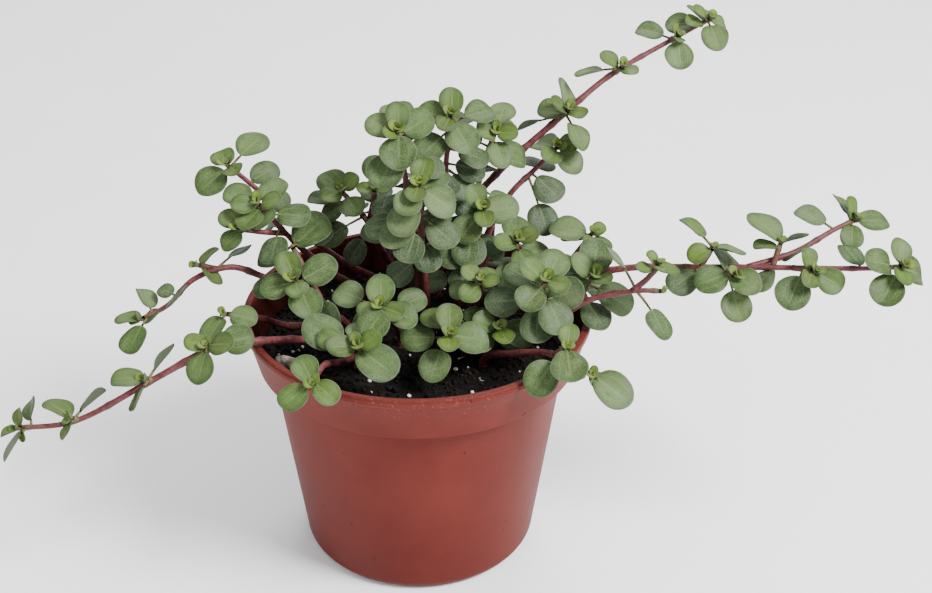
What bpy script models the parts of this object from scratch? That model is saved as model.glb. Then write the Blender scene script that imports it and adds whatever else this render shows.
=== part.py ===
"""Potted Pilea glauca: leafy red-stemmed trailing shoots in a round nursery pot.

Metres, +Z up. The origin is the centre of the pot's flat base, +X runs to the
right and the long left and right stems hang out over the rim to both sides.
"""
import math
import random
from collections import namedtuple

import bmesh
import bpy
from mathutils import Matrix, Vector, noise
from mathutils.bvhtree import BVHTree

MM = 0.001
UP = Vector((0, 0, 1))
CLEARANCE = 0.3 * MM

# The pot: a thin moulded shell with a flared band under its rolled lip.
POT_HEIGHT = 61 * MM
RIM_RADIUS = 40 * MM
BAND_HEIGHT = 11.2 * MM
BAND_FOOT_RADIUS = 37.2 * MM
BODY_TOP_RADIUS = 34.2 * MM
BASE_RADIUS = 27.8 * MM
FOOT_ROUND = 3 * MM
LIP_HEIGHT = 2 * MM
LIP_OUT = 0.6 * MM
WALL = 1.2 * MM
POT_SIDES = 36
DRAIN_HOLES = 6
DRAIN_RADIUS = 2.5 * MM
DRAIN_SIDES = 6
DRAIN_CIRCLE = 19 * MM

# The soil: a plug that fills the pot to a little over its inner ledge.
SOIL_TOP = 52 * MM
SOIL_LUMP = 0.9 * MM
SOIL_LUMP_SPAN = 9 * MM
SOIL_SIDES = 24
SOIL_RINGS = (28 * MM, 19 * MM, 10 * MM)
ROOT_DEPTH = 5 * MM
STEM_HOLE = 1.8 * MM
STEM_HOLE_SIDES = 5
STEM_FOOT = 2.2 * MM

# The chip: a lump of pale grit that lies at the front left, on the soil.
CHIP_PLACE = Vector((-29.6 * MM, -11.8 * MM, SOIL_TOP + 1.6 * MM))
CHIP_HALF = Vector((3.1 * MM, 1.7 * MM, 1.5 * MM))
CHIP_TURN = math.radians(-30)
CHIP_UNEVEN = 0.22
CHIP_LUMPS = 1.9

# The stems: round, thinner towards the tip.
STEM_RADIUS = 1.1 * MM
TWIG_RADIUS = 0.8 * MM
TIP_RADIUS = 0.56 * MM
STEM_STEP = 7 * MM
# A four-sided tube this much wider has about a round stem's thickness.
SQUARE_SPREAD = 1.2

# The leaves: round blades in crossed pairs, on short petioles.
BLADE_THICKNESS = 0.6 * MM
BLADE_WIDTH = 0.94
BLADE_ARCH = 16
BLADE_ARCH_FOR_PETIOLE = 35
LONE_BLADE_ARCH = 24
PETIOLE_HALF_WIDTH = 0.3 * MM
LEAF_GUARD = 0.35 * MM
STEM_GUARD = 1.3 * MM
SEED = 11

# What a leaf keeps clear of: the soil below it, and the wall from inside it to past the rim.
SOIL_ROOM = 2.2 * MM
WALL_INSIDE = 33 * MM
RIM_ROOM = 1.5 * MM

# One row for each pair, from the tip down: place along the stem in mm, blade
# length as a share of the spray's own, lean away from the stem in degrees, and
# petiole length as a share of the blade.
Growth = namedtuple("Growth", "place size lean petiole")
GROWTH = (
    Growth(0.3, 0.36, 32, 0.06),
    Growth(1.0, 0.72, 58, 0.08),
    Growth(2.0, 0.95, 76, 0.14),
    Growth(4.2, 1.00, 88, 0.26),
    Growth(8.5, 0.95, 94, 0.36),
    Growth(14.0, 0.92, 98, 0.42),
    Growth(20.0, 0.90, 100, 0.42),
    Growth(26.5, 0.88, 100, 0.42),
    Growth(33.5, 0.84, 100, 0.42),
)

# How much a leaf may differ from its row: turn and lean in degrees, and size. One leaf of a
# pair is smaller than the other.
TURN_SPREAD = 10
LEAN_SPREAD = 7
SIZE_SPREAD = 0.05
SMALLER = 0.88

# Where an outline has its points: angles round the blade from its foot. The powers make it
# fuller than an ellipse, along the blade and across it.
LARGE_OUTLINE = (46, 92, 140)
MIDDLE_OUTLINE = (52, 114)
SMALL_OUTLINE = (80,)
FULL_ALONG = 0.92
FULL_ACROSS = 0.85
LARGE_BLADE = 9 * MM
MIDDLE_BLADE = 4.6 * MM
LONG_PETIOLE = 3.6 * MM

# A leaf that would cross a neighbour is bent clear: turn and lean in degrees,
# and size, tried in this order.
BENDS = [(0, 0, 1.0)]
for size in (1.0, 0.88, 0.76):
    for lean in (0, -16, 16, -30, 30):
        for turn in (0, 16, -16, 32, -32, 46, -46):
            if (turn, lean, size) != (0, 0, 1.0):
                BENDS.append((turn, lean, size))

# Where a tip rosette looks: to the light, more to the front, to the sky, out to the left, or
# to the back.
FACES = {
    "light": Vector((0, -0.5, 0.87)),
    "front": Vector((0, -0.72, 0.69)),
    "sky": Vector((0, -0.2, 0.98)),
    "left": Vector((-0.62, -0.5, 0.6)),
    "back": Vector((0, 0.6, 0.8)),
}

# How far it turns outward as well, for each metre from the pot's axis. Leaves further from
# the tip than its reach in mm stand square to the stem, their upper sides still to the light.
OUTWARD_LEAN = 3
ROSETTE_REACH = 9
LIGHT_PULL = 0.4
LIGHT_PULL_GROWTH = 0.1

# A spray is one run of stem with its leaf pairs. Its points are in mm. A rooted
# spray starts at the soil, and a side spray on the spray before all others.
Spray = namedtuple("Spray", "points pairs turn leaf face lone", defaults=(8.4, "light", ()))

# A lone leaf is placed by hand: place from the tip in mm, turn, lean and roll
# in degrees as the light sees it, blade and petiole in mm.
Lone = namedtuple("Lone", "place turn lean roll blade petiole")

LEAFY_STEMS = {
    "leafy_stem_left_rosette": (
        Spray([(-16, 2), (-19, -2, 60), (-23, -5, 66), (-27.5, -8, 73)], 3, 22, 9.2, lone=(
            Lone(2, 291, 84, 0, 8.2, 1.3), Lone(7, 198, 84, 0, 7.4, 6.1), Lone(6, 249, 84, 50, 8.6, 3.7))),
        Spray([(-21, -3, 63), (-26, 2, 71), (-28.5, 4, 75)], 0, 0, lone=(
            Lone(0.4, 88, 72, 0, 10, 0.8), Lone(3, 170, 95, 0, 7.5, 3))),
    ),
    "leafy_stem_front_left": (
        Spray([(-9, -8), (-10, -15, 57.5), (-12, -21, 61), (-13.2, -25, 66)], 2, 112, 9.2, lone=(
            Lone(2, 288, 84, 0, 10, 0.4), Lone(1.5, 24, 84, 0, 8, 2.2), Lone(4, 171, 84, 0, 9.8, 4.3),
            Lone(2, 213, 84, 0, 6.2, 3.1), Lone(1, 120, 84, 0, 6.6, 1.3))),
    ),
    "leafy_stem_front_middle": (
        Spray([(-4, -2), (-5, -7, 60), (-7, -12, 66), (-8.5, -16, 70.5)], 2, 62, 8.8, lone=(
            Lone(1.5, 90, 70, 0, 7.4, 0.4), Lone(2, 219, 84, 0, 7.6, 1), Lone(2, 339, 84, 0, 7.4, 1.3),
            Lone(5, 165, 84, 0, 7.8, 5.5), Lone(6, 30, 84, 0, 7.4, 3.1))),
    ),
    "leafy_stem_front_right": (
        Spray([(5, -6), (5.5, -13, 59), (6, -17, 62.5), (7, -20, 65.5)], 2, -10, 8.8, lone=(
            Lone(1.5, 351, 84, 0, 8.6, 0.7), Lone(4, 249, 84, 0, 8, 3.1), Lone(4.5, 159, 84, 0, 8.2, 2.2),
            Lone(2, 123, 84, 0, 6.4, 2.2))),
    ),
    "leafy_stem_right_rosette": (
        Spray([(20, -2), (24, -7, 61), (26.5, -11, 68), (28, -14, 75.5)], 5, 56, 9.0, lone=(
            Lone(8, 267, 84, 0, 8.8, 1.6), Lone(9, 327, 84, 30, 8.4, 3.1))),
    ),
    "leafy_stem_rim_right": (
        Spray([(25, 2), (32, -1, 61), (36.5, -4, 66), (39.5, -8, 73)], 5, 75, 9.2),
    ),
    "leafy_stem_crown_left": (
        Spray([(-2, 10), (-3, 8, 66), (-2, 5, 86), (-4, 4, 103.5)], 7, -20, 8.8, "front", (
            Lone(2.5, 93, 84, 0, 8.6, 2.6), Lone(1.5, 270, 84, 0, 9, 0.4))),
    ),
    "leafy_stem_crown_middle": (
        Spray([(2, 2), (2, 1, 64), (1, 0, 78), (0.5, -2, 93.5)], 7, 10, 8.6, "front", (
            Lone(10, 252, 84, 0, 7.6, 4), Lone(10, 222, 84, 0, 7.6, 5), Lone(9, 300, 84, 0, 8.4, 2.5))),
    ),
    "leafy_stem_crown_back": (
        Spray([(5, 20), (8, 15, 70), (6.5, 13, 84), (8, 15, 102.5)], 7, -25, 8.8, "front", (
            Lone(2.5, 24, 84, 0, 7.6, 3.7), Lone(12, 5, 88, 0, 7.6, 2), Lone(14, 312, 92, 0, 7.4, 1.5))),
    ),
    "leafy_stem_crown_right": (
        Spray([(10, 16), (12, 13, 70), (15, 16, 87), (18.5, 20, 96)], 7, 75, 8.6, "front", (
            Lone(0.8, 72, 84, 0, 7.2, 2.8),)),
    ),
    "leafy_stem_middle": (
        Spray([(9, 6), (10, 4, 66), (12, 4, 77), (15, 4, 84.5)], 7, 5, 8.6, "front", (
            Lone(7, 262, 84, 0, 9, 0.4),)),
    ),
    "leafy_stem_left_back": (
        Spray([(-9, 23), (-18, 20, 62), (-28, 17, 73), (-37, 17, 83), (-44, 20, 88)], 2, 42, 8.8, lone=(
            Lone(1.2, 54, 84, 0, 8.6, 4), Lone(1.2, 221, 86, 0, 8.6, 1.2),
            Lone(7, 39, 84, 0, 7.6, 0.7), Lone(10, 330, 80, 0, 6.5, 2))),
    ),
    "leafy_stem_left_high": (
        Spray([(-13, 18), (-20, 14, 62), (-28, 9, 73), (-36, 7, 84.5)], 6, 92, 8.4, lone=(
            Lone(2, 147, 84, 0, 7.6, 3.1),)),
        Spray([(-30, 8.5, 76), (-36, 5, 78), (-40.5, 4, 79.5)], 3, 30, 7.6),
    ),
    "leafy_stem_back_left": (
        Spray([(-4, 26), (-8, 20, 64), (-12, 15, 76), (-17.5, 14, 84)], 6, 125, 8.2, lone=(
            Lone(9, 213, 84, 0, 7.6, 4.6), Lone(5, 195, 84, 20, 6.6, 4.9))),
        Spray([(-11, 16, 74), (-10, 14, 81), (-9.5, 13, 85)], 2, 70, 6.0,
              lone=(Lone(0.5, 80, 78, 0, 8.6, 1),)),
    ),
    "leafy_stem_back_right": (
        Spray([(14, 20), (17, 19, 70), (22, 19, 80), (28, 22, 85), (33.5, 24, 90)], 3, 150, 8.8, "front", (
            Lone(1, 126, 84, 0, 8.2, 0.7), Lone(9, 312, 84, 0, 8.4, 1.6), Lone(10, 288, 84, 0, 8.2, 7),
            Lone(8, 72, 84, 0, 9.4, 0.4))),
    ),
    "leafy_stem_long_back_right": (
        Spray([(9, 26), (13, 24, 74), (20, 24, 84), (34, 28, 95.5), (46, 34, 103.5),
               (61, 40, 110), (71, 44, 114)], 3, 70, 7.2, lone=(
            Lone(3.5, 175, 84, 0, 7.2, 1), Lone(1, 282, 84, 0, 7.6, 1.5))),
        Spray([(34, 28, 95.5), (36, 27, 98)], 2, 65, 8.2, lone=(
            Lone(1, 168, 84, 0, 6.8, 0.4), Lone(1.5, 124, 84, 54, 9, 0.7), Lone(1.5, 294, 84, -35, 8, 3.1),
            Lone(2.5, 180, 84, 60, 6.8, 4.9))),
        Spray([(47, 34.5, 104), (49, 33.5, 106)], 3, 75, 8.0,
              lone=(Lone(1, 182, 84, 40, 7, 4),)),
        Spray([(61, 40, 110), (63, 39, 111.5)], 2, 20, 5.4, lone=(
            Lone(1.2, 274, 92, 0, 7.6, 1), Lone(2.2, 152, 84, 10, 7.4, 2.2))),
    ),
    "leafy_stem_centre_small": (
        Spray([(13, 2), (14, -3, 63), (14, -8, 72.5)], 4, 65, 6.8),
    ),
    "leafy_stem_right_upper": (
        Spray([(18, 8), (21, 5, 64), (23, 4, 76)], 5, 110, 8.2),
    ),
    "leafy_stem_rim_right_upper": (
        Spray([(26, 10), (32, 8, 62.5), (36, 6, 70), (40.5, 7, 76)], 3, 150, 6.4,
              lone=(Lone(1, 158, 84, 15, 9.2, 0.8),)),
    ),
    "leafy_stem_over_rim_left": (
        Spray([(-14, -12), (-17, -20, 58.5), (-20, -29, 63.5), (-22, -38, 64.5)], 1, 32, 7.8, lone=(
            Lone(1.2, 219, 84, 0, 6.8, 1.9), Lone(1, 318, 84, 0, 6.4, 0.4),
            Lone(0.8, 117, 84, 0, 6.8, 0.4))),
    ),
    "leafy_stem_over_rim_right": (
        Spray([(15, -12), (21, -19, 59.5), (27, -25, 63.5), (31, -30, 64.6), (36.5, -33, 62.6)],
              2, 60, 7.0, lone=(Lone(0.5, 322, 88, 0, 9.4, 1.2),)),
        Spray([(29, -28, 64.4), (31.3, -31, 68.5)], 1, 0, 6.4,
              lone=(Lone(0.5, 272, 86, 0, 8.8, 0.6), Lone(2, 232, 90, 0, 8.6, 3.6),
                    Lone(0.3, 80, 66, 0, 5, 0.4))),
    ),
    "leafy_stem_long_left": (
        Spray([(-20, -5), (-27, -11, 59), (-36, -19, 63.5), (-44, -22, 64), (-57, -27, 59),
               (-72.5, -32, 52.5), (-85, -34, 52)], 2, 30, 6.0, "left", (
            Lone(3, 105, 84, -50, 5.6, 1.6), Lone(1, 195, 84, 40, 4.4, 0.4),
            Lone(2, 234, 84, 70, 7.6, 1.3))),
        Spray([(-44, -22, 64), (-45.5, -23.5, 65.5)], 2, 40, 7.0, lone=(
            Lone(0.8, 252, 92, 20, 7.6, 1.3), Lone(1, 12, 84, 20, 7.4, 2.8),
            Lone(0.8, 333, 84, 0, 6.4, 0.4))),
        Spray([(-57, -27, 59), (-58, -27.5, 60)], 1, 15, 7.4, "left", (
            Lone(0.6, 68, 84, -75, 7.6, 2), Lone(0.4, 174, 84, 25, 7.8, 0.6),
            Lone(0.6, 240, 84, 60, 6.2, 2))),
        Spray([(-72.5, -32, 52.5), (-73.6, -32.4, 53.4)], 1, 80, 7.2, "left", (
            Lone(0.5, 58, 84, -75, 7.4, 2), Lone(0.4, 140, 84, 35, 7.2, 0.6),
            Lone(0.5, 240, 84, 50, 4.6, 0.8))),
    ),
    "leafy_stem_rim_left": (
        Spray([(-23, 2), (-30, -3, 58), (-36.5, -9, 64), (-43, -12, 66.5)], 1, 120, 6.0,
              lone=(Lone(0.8, 232, 90, 20, 7.2, 0.8), Lone(0.8, 350, 86, 0, 6.4, 0.8))),
    ),
    "leafy_stem_long_left_upper": (
        Spray([(-20, 10), (-28, 8, 60), (-36, 6, 66), (-43, 5, 69), (-51, 2, 67.5),
               (-57, 0, 62), (-63, -3, 60)], 2, 55, 8.0, "left", (
            Lone(3, 105, 84, 45, 6.6, 1.3), Lone(1, 177, 84, 30, 6.4, 0.4), Lone(2, 243, 84, 20, 7.6, 2.8),
            Lone(6, 200, 84, 40, 5.6, 0.4), Lone(10, 150, 84, 0, 4.4, 0.8), Lone(14, 225, 84, 60, 7.4, 0.4),
            Lone(21, 51, 84, -45, 6.4, 4))),
        Spray([(-46, 4.5, 69), (-50.5, 4.5, 70)], 1, 20, 5.6, "left", (
            Lone(1, 63, 84, -40, 5.8, 0.4), Lone(1, 320, 84, -45, 6, 1))),
    ),
    "leafy_stem_long_right": (
        Spray([(20, 14), (25, 6, 62), (33, 0, 67.5), (48, -4, 72.5), (63, -7, 74),
               (73, -9, 75), (97, -13, 76.5), (106, -15, 78)], 3, 10, 8.8, lone=(
            Lone(0.8, 236, 88, 0, 8.2, 2.6), Lone(44, 216, 84, 0, 8.2, 1), Lone(9, 111, 84, 25, 7.4, 0.4),
            Lone(28, 220, 90, 40, 7.6, 0.4))),
        Spray([(73, -9, 75), (84, -6, 77), (93.5, -2, 80.5), (99, 0, 82)], 2, 35, 7.6, "sky", (
            Lone(6, 138, 84, 20, 8, 2.2), Lone(13, 204, 84, 60, 7.4, 0.4), Lone(2, 9, 84, -20, 8.4, 1.3),
            Lone(1.5, 294, 84, 0, 6.2, 0.7), Lone(1.5, 84, 84, 45, 7, 1.3))),
        Spray([(79, -7.5, 75.8), (80.5, -7, 80.5)], 1, 30, 5.0, lone=(
            Lone(0.5, 123, 78, 25, 9.4, 0.4), Lone(0.5, 9, 84, -70, 6, 0.7),
            Lone(1.5, 171, 84, 30, 5.6, 0.4))),
        Spray([(63, -7, 74), (65.5, -7, 79.5)], 1, 30, 4.4, lone=(
            Lone(0.4, 124, 80, 40, 7.6, 2.6), Lone(0.4, 205, 88, 0, 5.6, 0.8),
            Lone(0.4, 350, 80, -45, 7.2, 0.4))),
        Spray([(65, -7.5, 74), (70, -13, 75)], 2, 100, 8.6, lone=(
            Lone(2, 198, 84, 0, 8, 0.4), Lone(2, 315, 84, 0, 7.8, 0.4), Lone(2.5, 282, 84, 0, 7.8, 3.7),
            Lone(2.5, 81, 84, 30, 8.4, 0.4))),
        Spray([(83, -10.5, 76), (87, -14, 76.5)], 2, 150, 7.6, lone=(
            Lone(3, 226, 90, 0, 8.6, 1.8), Lone(1.5, 324, 84, 20, 6.6, 1.9))),
    ),
    "leafy_stem_sprout_right": (
        Spray([(22, -9), (30, -11, 62), (37, -12, 68.5), (47, -13, 71.5), (54, -14, 72)], 1, 60, 4.6,
              lone=(Lone(6, 305, 92, -28, 8, 5), Lone(6, 112, 70, 60, 7.6, 5))),
        Spray([(47, -13, 71.5), (50.5, -12.5, 74.5), (53, -12, 78)], 3, 20, 5.4, "sky"),
    ),
    "leafy_stem_low_middle": (
        Spray([(11, -8), (15, -11, 58.5), (18, -14, 63.5)], 4, 40, 8.4),
    ),
    "leafy_stem_behind_left": (
        Spray([(-7, 29), (-6, 31.5, 60), (-5, 34, 69)], 3, 20, 8.4, "back"),
    ),
    "leafy_stem_behind_middle": (
        Spray([(3, 30.5), (4, 33, 61), (5, 35.5, 70.5)], 3, 65, 8.6, "back"),
    ),
    "leafy_stem_behind_right": (
        Spray([(16, 26.5), (18, 28.5, 60), (19, 31, 69.5)], 3, 110, 8.4, "back"),
    ),
    "leafy_stem_behind_crown": (
        Spray([(0, 20), (1, 23, 66), (1.5, 26, 80)], 4, 40, 8.4, "back"),
    ),
}


def new_material(name, color, roughness):
    """A plain finish of one colour."""
    material = bpy.data.materials.new(name)
    material.use_nodes = True
    shader = material.node_tree.nodes["Principled BSDF"]
    shader.inputs["Base Color"].default_value = (*color, 1)
    shader.inputs["Roughness"].default_value = roughness
    shader.inputs["Metallic"].default_value = 0
    material.diffuse_color = (*color, 1)
    return material


def add_object(name, bm, material=None):
    """Close off a bmesh as a named object in the scene."""
    mesh = bpy.data.meshes.new(name)
    bm.to_mesh(mesh)
    bm.free()
    obj = bpy.data.objects.new(name, mesh)
    bpy.context.scene.collection.objects.link(obj)
    if material:
        mesh.materials.append(material)
    return obj


def bake_modifiers(obj):
    """Keep what the modifiers make as the object's own mesh."""
    depsgraph = bpy.context.evaluated_depsgraph_get()
    mesh = bpy.data.meshes.new_from_object(obj.evaluated_get(depsgraph))
    obj.modifiers.clear()
    obj.data = mesh


def combine(obj, pieces, operation):
    """One Boolean of an object with a collection of pieces, then drop the pieces."""
    group = bpy.data.collections.new(obj.name + "_pieces")
    bpy.context.scene.collection.children.link(group)
    for piece in pieces:
        bpy.context.scene.collection.objects.unlink(piece)
        group.objects.link(piece)
    boolean = obj.modifiers.new("combine", "BOOLEAN")
    boolean.operation = operation
    boolean.operand_type = "COLLECTION"
    boolean.collection = group
    bake_modifiers(obj)
    for piece in pieces:
        bpy.data.objects.remove(piece)
    bpy.data.collections.remove(group)


def spun(profile, sides):
    """Turn an outline of (radius, height) points round the pot's axis."""
    bm = bmesh.new()
    verts = [bm.verts.new((radius, 0, height)) for radius, height in profile]
    edges = [bm.edges.new(pair) for pair in zip(verts, verts[1:])]
    bmesh.ops.spin(bm, geom=verts + edges, cent=(0, 0, 0), axis=UP, angle=math.tau,
                   steps=sides, use_merge=True)
    bmesh.ops.remove_doubles(bm, verts=bm.verts, dist=1e-6)
    bmesh.ops.recalc_face_normals(bm, faces=bm.faces)
    return bm


def upright_cylinder(name, x, y, radius, low, high, sides):
    """A plain upright cutter, between two heights."""
    bm = bmesh.new()
    place = Matrix.Translation((x, y, (low + high) / 2))
    bmesh.ops.create_cone(bm, cap_ends=True, segments=sides, radius1=radius, radius2=radius,
                          depth=high - low, matrix=place)
    return add_object(name, bm)


def shade_round(obj, angle=32):
    """Smooth shading but for the edges sharper than an angle."""
    obj.data.shade_smooth()
    obj.data.set_sharp_from_angle(angle=math.radians(angle))


def arc(center, radius, start, end, steps):
    """Points on an arc, angles in degrees from the outward direction."""
    for step in range(steps + 1):
        angle = math.radians(start + (end - start) * step / steps)
        yield (center[0] + radius * math.cos(angle), center[1] + radius * math.sin(angle))


def make_pot(material):
    """The moulded shell, turned in one piece and then drilled for drainage."""
    band_foot = POT_HEIGHT - BAND_HEIGHT
    ledge = band_foot + WALL
    lip_foot = POT_HEIGHT - LIP_HEIGHT
    lip_round = LIP_HEIGHT * 0.3
    lip_inside = RIM_RADIUS - LIP_OUT - WALL
    profile = [(0, 0)]
    profile += arc((BASE_RADIUS - FOOT_ROUND, FOOT_ROUND), FOOT_ROUND, -90, 0, 2)
    profile += [
        (BODY_TOP_RADIUS, band_foot),
        (BAND_FOOT_RADIUS, band_foot),
        (RIM_RADIUS - LIP_OUT, lip_foot),
        (RIM_RADIUS, lip_foot + lip_round),
        (RIM_RADIUS, POT_HEIGHT - lip_round),
        (RIM_RADIUS - lip_round, POT_HEIGHT),
        (lip_inside, POT_HEIGHT),
        (BAND_FOOT_RADIUS - WALL, ledge),
        (BODY_TOP_RADIUS - WALL, ledge),
    ]
    inside = BASE_RADIUS - FOOT_ROUND
    profile += arc((inside, FOOT_ROUND), FOOT_ROUND - WALL, 0, -90, 1)
    profile += [(0, WALL)]
    pot = add_object("pot", spun(profile, POT_SIDES), material)
    drains = []
    for index in range(DRAIN_HOLES):
        angle = math.tau * (index + 0.5) / DRAIN_HOLES
        x = DRAIN_CIRCLE * math.cos(angle)
        y = DRAIN_CIRCLE * math.sin(angle)
        drains.append(upright_cylinder(f"drain_{index}", x, y, DRAIN_RADIUS, -WALL, 2 * WALL,
                                       DRAIN_SIDES))
    combine(pot, drains, "DIFFERENCE")
    shade_round(pot)


def soil_height(x, y):
    """Height of the uneven soil at a place."""
    spot = Vector((x, y, 0)) / SOIL_LUMP_SPAN
    return SOIL_TOP + SOIL_LUMP * noise.noise(spot)


def make_soil(material):
    """The plug of soil with its uneven top and a hole for each rooted stem."""
    inside = BASE_RADIUS - WALL - CLEARANCE
    ledge = POT_HEIGHT - BAND_HEIGHT + WALL + CLEARANCE
    top_inside = BODY_TOP_RADIUS - WALL - CLEARANCE
    edge = BAND_FOOT_RADIUS - WALL - CLEARANCE
    floor = WALL + CLEARANCE
    profile = [
        (0, floor),
        (inside - FOOT_ROUND, floor),
        (inside, floor + FOOT_ROUND),
        (top_inside, ledge),
        (edge, ledge),
        (edge, SOIL_TOP),
    ]
    profile += [(radius, SOIL_TOP) for radius in SOIL_RINGS]
    profile += [(0, SOIL_TOP)]
    bm = spun(profile, SOIL_SIDES)
    for vert in bm.verts:
        if vert.co.z > ledge + CLEARANCE and vert.co.xy.length < edge - CLEARANCE:
            vert.co.z = soil_height(vert.co.x, vert.co.y)
    bmesh.ops.triangulate(bm, faces=bm.faces)
    soil = add_object("soil", bm, material)
    holes = []
    for name, sprays in LEAFY_STEMS.items():
        x, y = sprays[0].points[0]
        holes.append(upright_cylinder("hole_" + name, x * MM, y * MM, STEM_HOLE,
                                      SOIL_TOP - ROOT_DEPTH - CLEARANCE, SOIL_TOP + 3 * MM,
                                      STEM_HOLE_SIDES))
    combine(soil, holes, "DIFFERENCE")
    return soil


def make_chip(material, soil):
    """A rough lump of grit, seated on the soil."""
    ground = BVHTree.FromObject(soil, bpy.context.evaluated_depsgraph_get())
    bm = bmesh.new()
    bmesh.ops.create_icosphere(bm, subdivisions=2, radius=1)
    for vert in bm.verts:
        vert.co *= 1 + CHIP_UNEVEN * noise.noise(vert.co * CHIP_LUMPS)
        vert.co = Vector(c * h for c, h in zip(vert.co, CHIP_HALF))
    place = Matrix.Translation(CHIP_PLACE) @ Matrix.Rotation(CHIP_TURN, 4, "Z")
    bmesh.ops.transform(bm, matrix=place, verts=bm.verts)
    for vert in bm.verts:
        above = Vector((vert.co.x, vert.co.y, POT_HEIGHT))
        floor = ground.ray_cast(above, -UP)[0].z + CLEARANCE
        vert.co.z = max(vert.co.z, floor)
    bmesh.ops.recalc_face_normals(bm, faces=bm.faces)
    add_object("soil_chip", bm, material)


class Route:
    """A smooth curve through a spray's points, measured from its tip."""

    def __init__(self, spray, parent=None):
        points = [Vector(p) * MM for p in spray.points[1:]]
        first = spray.points[0]
        if parent is None:
            x, y = first[0] * MM, first[1] * MM
            points = [Vector((x, y, SOIL_TOP - ROOT_DEPTH)), Vector((x, y, SOIL_TOP + STEM_FOOT))] + points
        else:
            points = [parent.nearest(Vector(first) * MM)] + points
        self.rooted = parent is None
        self.samples = self.smooth(points)
        self.lengths = [0]
        for a, b in zip(self.samples, self.samples[1:]):
            self.lengths.append(self.lengths[-1] + (b - a).length)
        self.length = self.lengths[-1]

    @staticmethod
    def smooth(points, steps=12):
        """A Catmull-Rom curve through the points."""
        ends = [points[0] * 2 - points[1]] + points + [points[-1] * 2 - points[-2]]
        samples = [points[0]]
        for a, b, c, d in zip(ends, ends[1:], ends[2:], ends[3:]):
            for step in range(1, steps + 1):
                t = step / steps
                samples.append(0.5 * (2 * b + (c - a) * t + (2 * a - 5 * b + 4 * c - d) * t ** 2
                                      + (3 * b - a - 3 * c + d) * t ** 3))
        return samples

    def at(self, from_tip):
        """Place and direction at a distance from the tip."""
        target = min(max(self.length - from_tip, 0), self.length)
        index = 1
        while index < len(self.lengths) - 1 and self.lengths[index] < target:
            index += 1
        a, b = self.samples[index - 1], self.samples[index]
        span = self.lengths[index] - self.lengths[index - 1]
        share = (target - self.lengths[index - 1]) / span
        return a.lerp(b, share), (b - a).normalized()

    def nearest(self, point):
        """The place on the route that is closest to a point."""
        return min(self.samples, key=lambda sample: (sample - point).length)

    def radius(self, from_tip):
        """Half thickness of the tube at a distance from the tip."""
        thick = STEM_RADIUS if self.rooted else TWIG_RADIUS
        share = min(1, from_tip / self.length)
        return SQUARE_SPREAD * (TIP_RADIUS + (thick - TIP_RADIUS) * share)

    def stops(self):
        """Distances from the tip, root first, at which the tube has a ring."""
        foot = ROOT_DEPTH + STEM_FOOT if self.rooted else 0
        free = self.length - foot
        count = max(2, round(free / STEM_STEP))
        stops = [free * (1 - step / count) for step in range(count + 1)]
        return [self.length] + stops if self.rooted else stops


def make_tube(name, route):
    """A stem as a bevelled curve, made into a mesh."""
    curve = bpy.data.curves.new(name, "CURVE")
    curve.dimensions = "3D"
    curve.bevel_depth = 1
    curve.bevel_resolution = 0
    curve.use_fill_caps = True
    stops = route.stops()
    spline = curve.splines.new("POLY")
    spline.points.add(len(stops) - 1)
    for point, from_tip in zip(spline.points, stops):
        point.co = (*route.at(from_tip)[0], 1)
        point.radius = route.radius(from_tip)
    curve_object = bpy.data.objects.new(name + "_curve", curve)
    bpy.context.scene.collection.objects.link(curve_object)
    depsgraph = bpy.context.evaluated_depsgraph_get()
    mesh = bpy.data.meshes.new_from_object(curve_object.evaluated_get(depsgraph))
    bpy.data.objects.remove(curve_object)
    bm = bmesh.new()
    bm.from_mesh(mesh)
    bmesh.ops.remove_doubles(bm, verts=bm.verts, dist=1e-7)
    bmesh.ops.recalc_face_normals(bm, faces=bm.faces)
    return add_object(name, bm)


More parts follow.
